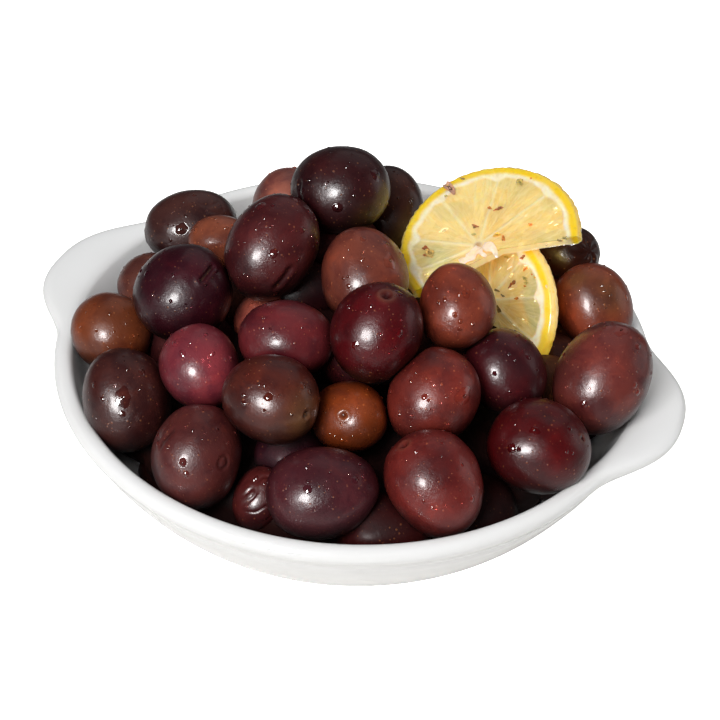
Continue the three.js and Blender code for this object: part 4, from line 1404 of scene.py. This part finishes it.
def porcelain():
    material, tree, shader, where = new_material("white glaze")
    bare = tree.add("ShaderNodeAttribute", {"attribute_name": "bare_clay"}).outputs["Fac"]
    glaze = tree.add("ShaderNodeGroup", {"node_tree": CLOUDS}, Vector=where, Per_metre=25.0, Low=0.3,
                     High=0.7,
                     First=(0.88, 0.877, 0.87, 1), Second=(0.865, 0.86, 0.85, 1))
    clay = tree.add("ShaderNodeGroup", {"node_tree": SPECKS}, Vector=where, Per_metre=900.0, Size=0.3,
                    Share=0.5)
    raw = tree.mix(tree.math("MULTIPLY", clay.outputs[0], 0.3), (0.68, 0.64, 0.57, 1), (0.5, 0.45, 0.38, 1))
    tree.put(shader.inputs["Base Color"], tree.mix(bare, glaze.outputs["Color"], raw))
    film = tree.add("ShaderNodeGroup", {"node_tree": WET}, Vector=where, Per_metre=60.0, Dry=0.2, Wet=0.15)
    tree.put(shader.inputs["Roughness"], tree.math("ADD", film.outputs["Roughness"],
                                                   tree.math("MULTIPLY", bare, 0.6)))
    bump(tree, shader, film.outputs["Height"], 0.00002, 0.1)
    set_shader(shader, Coat_Weight=0.12, Coat_Roughness=0.05)
    return material


def olive_skin(name, dry, wet, shine, film_weight, grain_depth):
    """Wet olive skin: clouded colour, small warm specks, fine pores, an uneven film of brine, and painted
    shade towards the edges.
    """
    material, tree, shader, where = new_material(name)
    tone = tree.add("ShaderNodeAttribute", {"attribute_name": "tone"}).outputs["Color"]
    deep = tree.mix(1.0, tone, (0.5, 0.42, 0.6, 1), "MULTIPLY")
    blotch = tree.add("ShaderNodeGroup", {"node_tree": CLOUDS}, Vector=where, Per_metre=120.0, Low=0.42,
                      High=0.68,
                      Strength=0.75, First=tone, Second=deep)
    warm = tree.mix(1.0, tone, (1.5, 1.35, 1.1, 1), "MULTIPLY")
    flush = tree.add("ShaderNodeGroup", {"node_tree": CLOUDS}, Vector=where, Per_metre=210.0, Low=0.5,
                     High=0.75,
                     Strength=0.6, First=blotch.outputs["Color"], Second=warm)
    mottle = tree.add("ShaderNodeGroup", {"node_tree": SPECKS}, Vector=where, Per_metre=620.0, Size=0.34,
                      Share=0.35)
    shade = tree.mix(tree.math("MULTIPLY", mottle.outputs[0], 0.45), flush.outputs["Color"], deep)
    pale = tree.add("ShaderNodeGroup", {"node_tree": SPECKS}, Vector=where, Per_metre=620.0, Size=0.17,
                    Share=0.85)
    fleck = tree.mix(1.0, tree.mix(1.0, tone, (1.5, 1.6, 1.4, 1), "MULTIPLY"), (0.12, 0.045, 0.012, 1), "ADD")
    pores = tree.add("ShaderNodeGroup", {"node_tree": SPECKS}, Vector=where, Per_metre=1100.0, Size=0.2,
                     Share=0.5)
    colour = tree.mix(tree.math("MULTIPLY", pale.outputs[0], 0.8), shade, fleck)
    colour = tree.mix(tree.math("MULTIPLY", pores.outputs[0], 0.35), colour, fleck)
    # Darker where the skin turns away from the eye: painted shade.
    edge = tree.add("ShaderNodeLayerWeight", Blend=0.5).outputs["Facing"]
    edge_shade = tree.math("MULTIPLY", tree.math("POWER", edge, 1.6), 0.75)
    edge_shade_colour = tree.mix(1.0, colour, (0.25, 0.15, 0.2, 1), "MULTIPLY")
    tree.put(shader.inputs["Base Color"], tree.mix(edge_shade, colour, edge_shade_colour))
    film = tree.add("ShaderNodeGroup", {"node_tree": WET}, Vector=where, Per_metre=900.0, Dry=dry, Wet=wet)
    tree.put(shader.inputs["Roughness"], film.outputs["Roughness"])
    grain = tree.add("ShaderNodeTexNoise", Vector=where, Scale=2800.0, Detail=2.0, Roughness=0.6)
    height = tree.math("ADD", film.outputs["Height"], tree.math("MULTIPLY", pale.outputs[0], 0.4))
    height = tree.math("ADD", height, tree.math("MULTIPLY", grain.outputs[0], 0.3))
    hollows = tree.math("MULTIPLY", tree.math("ADD", mottle.outputs[0], pores.outputs[0]), 0.12)
    height = tree.math("SUBTRACT", height, hollows)
    bump(tree, shader, height, grain_depth, 0.8)
    set_shader(shader, Specular_IOR_Level=shine, Coat_Weight=film_weight, Coat_Roughness=wet * 0.5)
    return material


def heap_shade():
    """Near-black colour for the inside of the heap: painted shade deep among the olives."""
    material, tree, shader, where = new_material("painted heap shade")
    depth = tree.add("ShaderNodeGroup", {"node_tree": CLOUDS}, Vector=where, Per_metre=150.0, Low=0.35,
                     High=0.7,
                     First=(0.008, 0.003, 0.003, 1), Second=(0.02, 0.006, 0.005, 1))
    tree.put(shader.inputs["Base Color"], depth.outputs["Color"])
    film = tree.add("ShaderNodeGroup", {"node_tree": WET}, Vector=where, Per_metre=300.0, Dry=0.8, Wet=0.6)
    tree.put(shader.inputs["Roughness"], film.outputs["Roughness"])
    bump(tree, shader, film.outputs["Height"], 0.001, 0.5)
    set_shader(shader, Specular_IOR_Level=0.12)
    return material


def lemon_flesh():
    material, tree, shader, where = new_material("lemon")
    zest = tree.add("ShaderNodeAttribute", {"attribute_name": "zest"}).outputs["Fac"]
    pith = tree.add("ShaderNodeAttribute", {"attribute_name": "pith"}).outputs["Fac"]
    skin_line = tree.add("ShaderNodeAttribute", {"attribute_name": "membrane"}).outputs["Fac"]
    uv = tree.add("ShaderNodeUVMap", {"uv_map": "flesh"}).outputs[0]
    stretch = tree.add("ShaderNodeMapping", Vector=uv, Scale=(1.0, 0.22, 1.0)).outputs[0]
    sacs = tree.add("ShaderNodeTexVoronoi", {"feature": "DISTANCE_TO_EDGE"}, Vector=stretch, Scale=620.0,
                    Randomness=1.0)
    walls = tree.ramp(sacs.outputs["Distance"], 0.02, 0.16, 1.0, 0.0)
    fibres = tree.add("ShaderNodeTexNoise", Vector=stretch, Scale=900.0, Detail=4.0, Roughness=0.6)
    juice = tree.add("ShaderNodeGroup", {"node_tree": CLOUDS}, Vector=where, Per_metre=90.0, Low=0.35,
                     High=0.7,
                     First=(0.97, 0.68, 0.26, 1), Second=(0.84, 0.55, 0.16, 1))
    # Darker olive-yellow where the flesh is clear: partly its own look, partly painted shade of the dark
    # olives behind it.
    glassy_and_shade = tree.add("ShaderNodeAttribute", {"attribute_name": "glassy_and_shade"}).outputs["Fac"]
    clear = tree.mix(tree.math("MULTIPLY", glassy_and_shade, 0.7), juice.outputs["Color"], (0.48, 0.49, 0.23, 1))
    flesh = tree.mix(tree.math("MULTIPLY", tree.ramp(fibres.outputs[0], 0.45, 0.7), 0.34), clear,
                     (0.97, 0.8, 0.4, 1))
    flesh = tree.mix(tree.math("MULTIPLY", walls, 0.16), flesh, (0.97, 0.82, 0.45, 1))
    flesh = tree.mix(tree.math("MULTIPLY", skin_line, 0.5), flesh, (0.97, 0.86, 0.56, 1))
    white = tree.add("ShaderNodeGroup", {"node_tree": CLOUDS}, Vector=where, Per_metre=600.0, Low=0.35,
                     High=0.7,
                     First=(0.98, 0.85, 0.64, 1), Second=(0.92, 0.76, 0.48, 1))
    colour = tree.mix(pith, flesh, white.outputs["Color"])
    cut_side = tree.add("ShaderNodeAttribute", {"attribute_name": "cut_side"}).outputs["Fac"]
    colour = tree.mix(tree.math("MULTIPLY", cut_side, 0.6), colour, (0.99, 0.74, 0.4, 1))
    heart = tree.add("ShaderNodeAttribute", {"attribute_name": "heart"}).outputs["Fac"]
    colour = tree.mix(tree.math("MULTIPLY", heart, 0.8), colour, (0.5, 0.27, 0.09, 1))
    pores = tree.add("ShaderNodeGroup", {"node_tree": SPECKS}, Vector=where, Per_metre=900.0, Size=0.35,
                     Share=0.7)
    worn = tree.add("ShaderNodeGroup", {"node_tree": CLOUDS}, Vector=where, Per_metre=70.0, Low=0.45,
                    High=0.7, Strength=0.5,
                    First=(0.98, 0.6, 0.02, 1), Second=(0.96, 0.66, 0.14, 1))
    rind_side = tree.add("ShaderNodeAttribute", {"attribute_name": "rind_side"}).outputs["Fac"]
    rind_tone = tree.add("ShaderNodeAttribute", {"attribute_name": "rind_tone"}).outputs["Color"]
    peel = tree.mix(tree.math("MULTIPLY", rind_side, 0.9), worn.outputs["Color"], rind_tone)
    peel = tree.mix(tree.math("MULTIPLY", pores.outputs[0], 0.4), peel, (0.75, 0.45, 0.04, 1))
    tree.put(shader.inputs["Base Color"], tree.mix(zest, colour, peel))
    film = tree.add("ShaderNodeGroup", {"node_tree": WET}, Vector=where, Per_metre=700.0, Dry=0.35, Wet=0.12)
    tree.put(shader.inputs["Roughness"], film.outputs["Roughness"])
    soft = tree.math("SUBTRACT", 1.0, tree.math("MAXIMUM", pith, zest))
    grain = tree.math("MULTIPLY", tree.math("SUBTRACT", fibres.outputs[0],
                                            tree.math("MULTIPLY", walls, 0.5)), soft)
    height = tree.math("ADD", grain, tree.math("MULTIPLY", film.outputs["Height"], 0.4))
    height = tree.math("SUBTRACT", height, tree.math("MULTIPLY", pores.outputs[0], 0.3))
    bump(tree, shader, height, 0.0003, 0.5)
    set_shader(shader, Subsurface_Weight=0.7, Subsurface_Scale=0.005, Coat_Weight=0.3, Coat_Roughness=0.08)
    shader.inputs["Subsurface Radius"].default_value = (1.0, 0.8, 0.3)
    # The flesh, pith and peel glow in their own colour: painted light, more on the cut wall and where a
    # piece's glow share is larger.
    tree.put(shader.inputs["Emission Color"], tree.mix(zest, colour, peel))
    painted_glow = tree.add("ShaderNodeAttribute", {"attribute_name": "painted_glow"}).outputs["Fac"]
    glow = tree.math("ADD", tree.math("MULTIPLY_ADD", cut_side, 0.3, 0.06), tree.math("MULTIPLY", painted_glow, 0.2))
    firm = tree.math("MULTIPLY", tree.math("SUBTRACT", 1.0, soft), painted_glow)
    tree.put(shader.inputs["Emission Strength"], tree.math("MULTIPLY_ADD", soft, glow, firm))
    let_light_through(tree, shader, (1, 0.86, 0.45, 1), 0.75)
    return material


def brine(name, first, second):
    material, tree, shader, where = new_material(name)
    haze = tree.add("ShaderNodeGroup", {"node_tree": CLOUDS}, Vector=where, Per_metre=500.0, Low=0.3,
                    High=0.7,
                    First=first, Second=second)
    tree.put(shader.inputs["Base Color"], haze.outputs["Color"])
    film = tree.add("ShaderNodeGroup", {"node_tree": WET}, Vector=where, Per_metre=800.0, Dry=0.03, Wet=0.0)
    tree.put(shader.inputs["Roughness"], film.outputs["Roughness"])
    set_shader(shader, Transmission_Weight=1.0, IOR=1.25, Specular_IOR_Level=0.35)
    let_light_through(tree, shader, (1, 1, 1, 1), 1.0)
    return material


def herb_leaf():
    material, tree, shader, where = new_material("dried herb")
    tone = tree.add("ShaderNodeAttribute", {"attribute_name": "tone"}).outputs["Color"]
    pale = tree.mix(1.0, tone, (1.8, 1.6, 1.4, 1), "MULTIPLY")
    veins = tree.add("ShaderNodeGroup", {"node_tree": CLOUDS}, Vector=where, Per_metre=1500.0, Low=0.4,
                     High=0.65, First=tone, Second=pale)
    tree.put(shader.inputs["Base Color"], veins.outputs["Color"])
    film = tree.add("ShaderNodeGroup", {"node_tree": WET}, Vector=where, Per_metre=1500.0, Dry=0.7, Wet=0.4)
    tree.put(shader.inputs["Roughness"], film.outputs["Roughness"])
    bump(tree, shader, film.outputs["Height"], 0.0003, 0.8)
    return material


# ---- the object ----------------------------------------------------------------------------------

GLAZE, HEAP_SHADE, FLESH, LEAF = porcelain(), heap_shade(), lemon_flesh(), herb_leaf()
SKIN = olive_skin("olive skin", 0.4, 0.3, 0.26, 0.2, 0.00018)
SHADED_SKIN = olive_skin("shaded olive skin", 0.7, 0.5, 0.12, 0.04, 0.00018)
DROP_SKIN = olive_skin("brine over skin", 0.12, 0.08, 0.45, 0.5, 0.00004)
BRINE = brine("brine", (0.74, 0.66, 0.64, 1), (0.62, 0.54, 0.52, 1))
JUICE = brine("juice", (1, 0.99, 0.95, 1), (0.97, 0.95, 0.85, 1))

pieces = [
    (make_dish(GLAZE), "porcelain", "dish"),
    (make_olives("olives_left", FRONT_OLIVES[:10], 30, SKIN), "olive_skin", "olive_heap"),
    (make_olives("olives_middle", FRONT_OLIVES[10:19], 30, SKIN), "olive_skin", "olive_heap"),
    (make_olives("olives_right", FRONT_OLIVES[19:], 30, SKIN), "olive_skin", "olive_heap"),
    (make_olives("olives_between", BETWEEN_OLIVES, 14, SHADED_SKIN), "olive_skin", "olive_heap"),
    (make_olives("olives_far_side", REAR_OLIVES, 22, SKIN), "olive_skin", "olive_heap"),
    (make_core(HEAP_SHADE), "olive_skin", "olive_heap"),
    (make_slice("lemon_upper", SLICES["upper"], FLESH), "lemon", "lemon_slice_upper"),
    (make_slice("lemon_lower", SLICES["lower"], FLESH), "lemon", "lemon_slice_lower"),
    (make_torn_pith(FLESH), "lemon", None),
    (make_slice_drops(JUICE), "brine", None),
    (make_flakes("lemon_pulp_glints", PULP_GLINTS, FLESH), "lemon", None),
    (make_drops(DROP_SKIN), "brine", None),
    (make_beads(BRINE), "brine", None),
    (make_flakes("herb_flakes", FLAKES, LEAF), "herbs", None),
]
for piece, finish, node in pieces:
    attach(piece, "root")
    if node:
        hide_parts(node)


# ---- floor, light and camera ---------------------------------------------------------------------

def make_floor():
    material, tree, shader, where = new_material("pale floor")
    near = tree.add("ShaderNodeVectorMath", {"operation": "LENGTH"}, _0=where).outputs["Value"]
    paper = tree.add("ShaderNodeGroup", {"node_tree": CLOUDS}, Vector=where, Per_metre=3.0, Low=0.3, High=0.7,
                     First=(0.86, 0.85, 0.83, 1), Second=(0.84, 0.83, 0.81, 1))
    spread = tree.mix(tree.ramp(near, 0.16, 0.3), paper.outputs["Color"], (0.28, 0.28, 0.28, 1))
    path = tree.add("ShaderNodeLightPath").outputs
    tree.put(shader.inputs["Base Color"], spread)
    tree.put(shader.inputs["Emission Strength"], tree.math("MULTIPLY", path["Is Camera Ray"], 1.0))
    set_shader(shader, Roughness=0.9)
    shader.inputs["Emission Color"].default_value = (1, 1, 1, 1)
    size = 3000
    corners = [(-size, -size, -0.2), (size, -size, -0.2), (size, size, -0.2), (-size, size, -0.2)]
    floor = make_piece("floor", corners, [(0, 1, 2, 3)], [material])


def make_light(name, azimuth, elevation, distance, size, power, colour=(1, 1, 1), shines=True, lights=True):
    """A square softbox that looks at the dish, placed as the camera is: by azimuth and elevation.

    One that does not shine gives no reflections, and one that does not light gives nothing but reflections.
    """
    lamp = bpy.data.lights.new(name, "AREA")
    lamp.shape = "SQUARE"
    lamp.size = size
    lamp.energy = power
    lamp.color = colour
    light = bpy.data.objects.new(name, lamp)
    away = Vector(direction(azimuth - 90, elevation))
    light.location = Vector((0, 0, 0.04)) + away * distance
    light.rotation_mode = "QUATERNION"
    light.rotation_quaternion = away.to_track_quat("Z", "Y")
    light.visible_glossy = shines
    light.visible_diffuse = lights
    bpy.context.collection.objects.link(light)


def make_camera():
    lens = bpy.data.cameras.new("camera")
    lens.sensor_width = 36
    lens.lens = 97
    lens.shift_x = 0.008
    lens.shift_y = -0.025
    lens.clip_start = 0.01
    camera = bpy.data.objects.new("camera", lens)
    back = Vector(FRONT)
    camera.location = Vector((0, 0, DISH_HEIGHT * MM)) + back * (VIEW_DISTANCE * MM)
    camera.rotation_mode = "QUATERNION"
    camera.rotation_quaternion = back.to_track_quat("Z", "Y") @ Quaternion((0, 0, 1), math.radians(VIEW_ROLL))
    bpy.context.collection.objects.link(camera)
    bpy.context.scene.camera = camera


def make_world():
    """Dim daylight on the dish, and a white backdrop where the camera looks past the floor."""
    world = bpy.data.worlds.new("studio")
    world.use_nodes = True
    tree = Tree(world.node_tree)
    background = world.node_tree.nodes["Background"]
    background.inputs["Color"].default_value = (0.93, 0.97, 1, 1)
    seen = tree.add("ShaderNodeLightPath").outputs["Is Camera Ray"]
    tree.put(background.inputs["Strength"], tree.ramp(seen, 0.0, 1.0, 0.03, 1.1))
    bpy.context.scene.world = world


make_floor()
make_light("key softbox", -10, 43, 1.3, 0.6, 14.4, (1, 1, 1), False)
make_light("key glow", -6, 27, 1.3, 0.38, 36, (1, 1, 1), True, False)
make_light("high back softbox", 185, 62, 1.5, 2.0, 6.5, (0.93, 0.97, 1), False)
make_light("back glow", 180, 45, 1.5, 1.6, 2.6, (0.96, 0.98, 1), True, False)
make_light("top fill", 10, 82, 1.3, 1.6, 2.8, (0.97, 0.98, 1), False)
make_light("front fill", 25, 16, 1.4, 1.4, 2.4, (1, 0.99, 0.97), False)
make_light("right softbox", 120, 12, 1.3, 0.8, 2.0)
make_light("right fill", 110, 30, 1.4, 1.2, 2.6, (1, 0.99, 0.97), False)
make_light("left softbox", -100, 18, 1.3, 0.7, 1.1, (1, 1, 1), False)
make_world()
make_camera()
bpy.context.scene.view_settings.view_transform = "Standard"
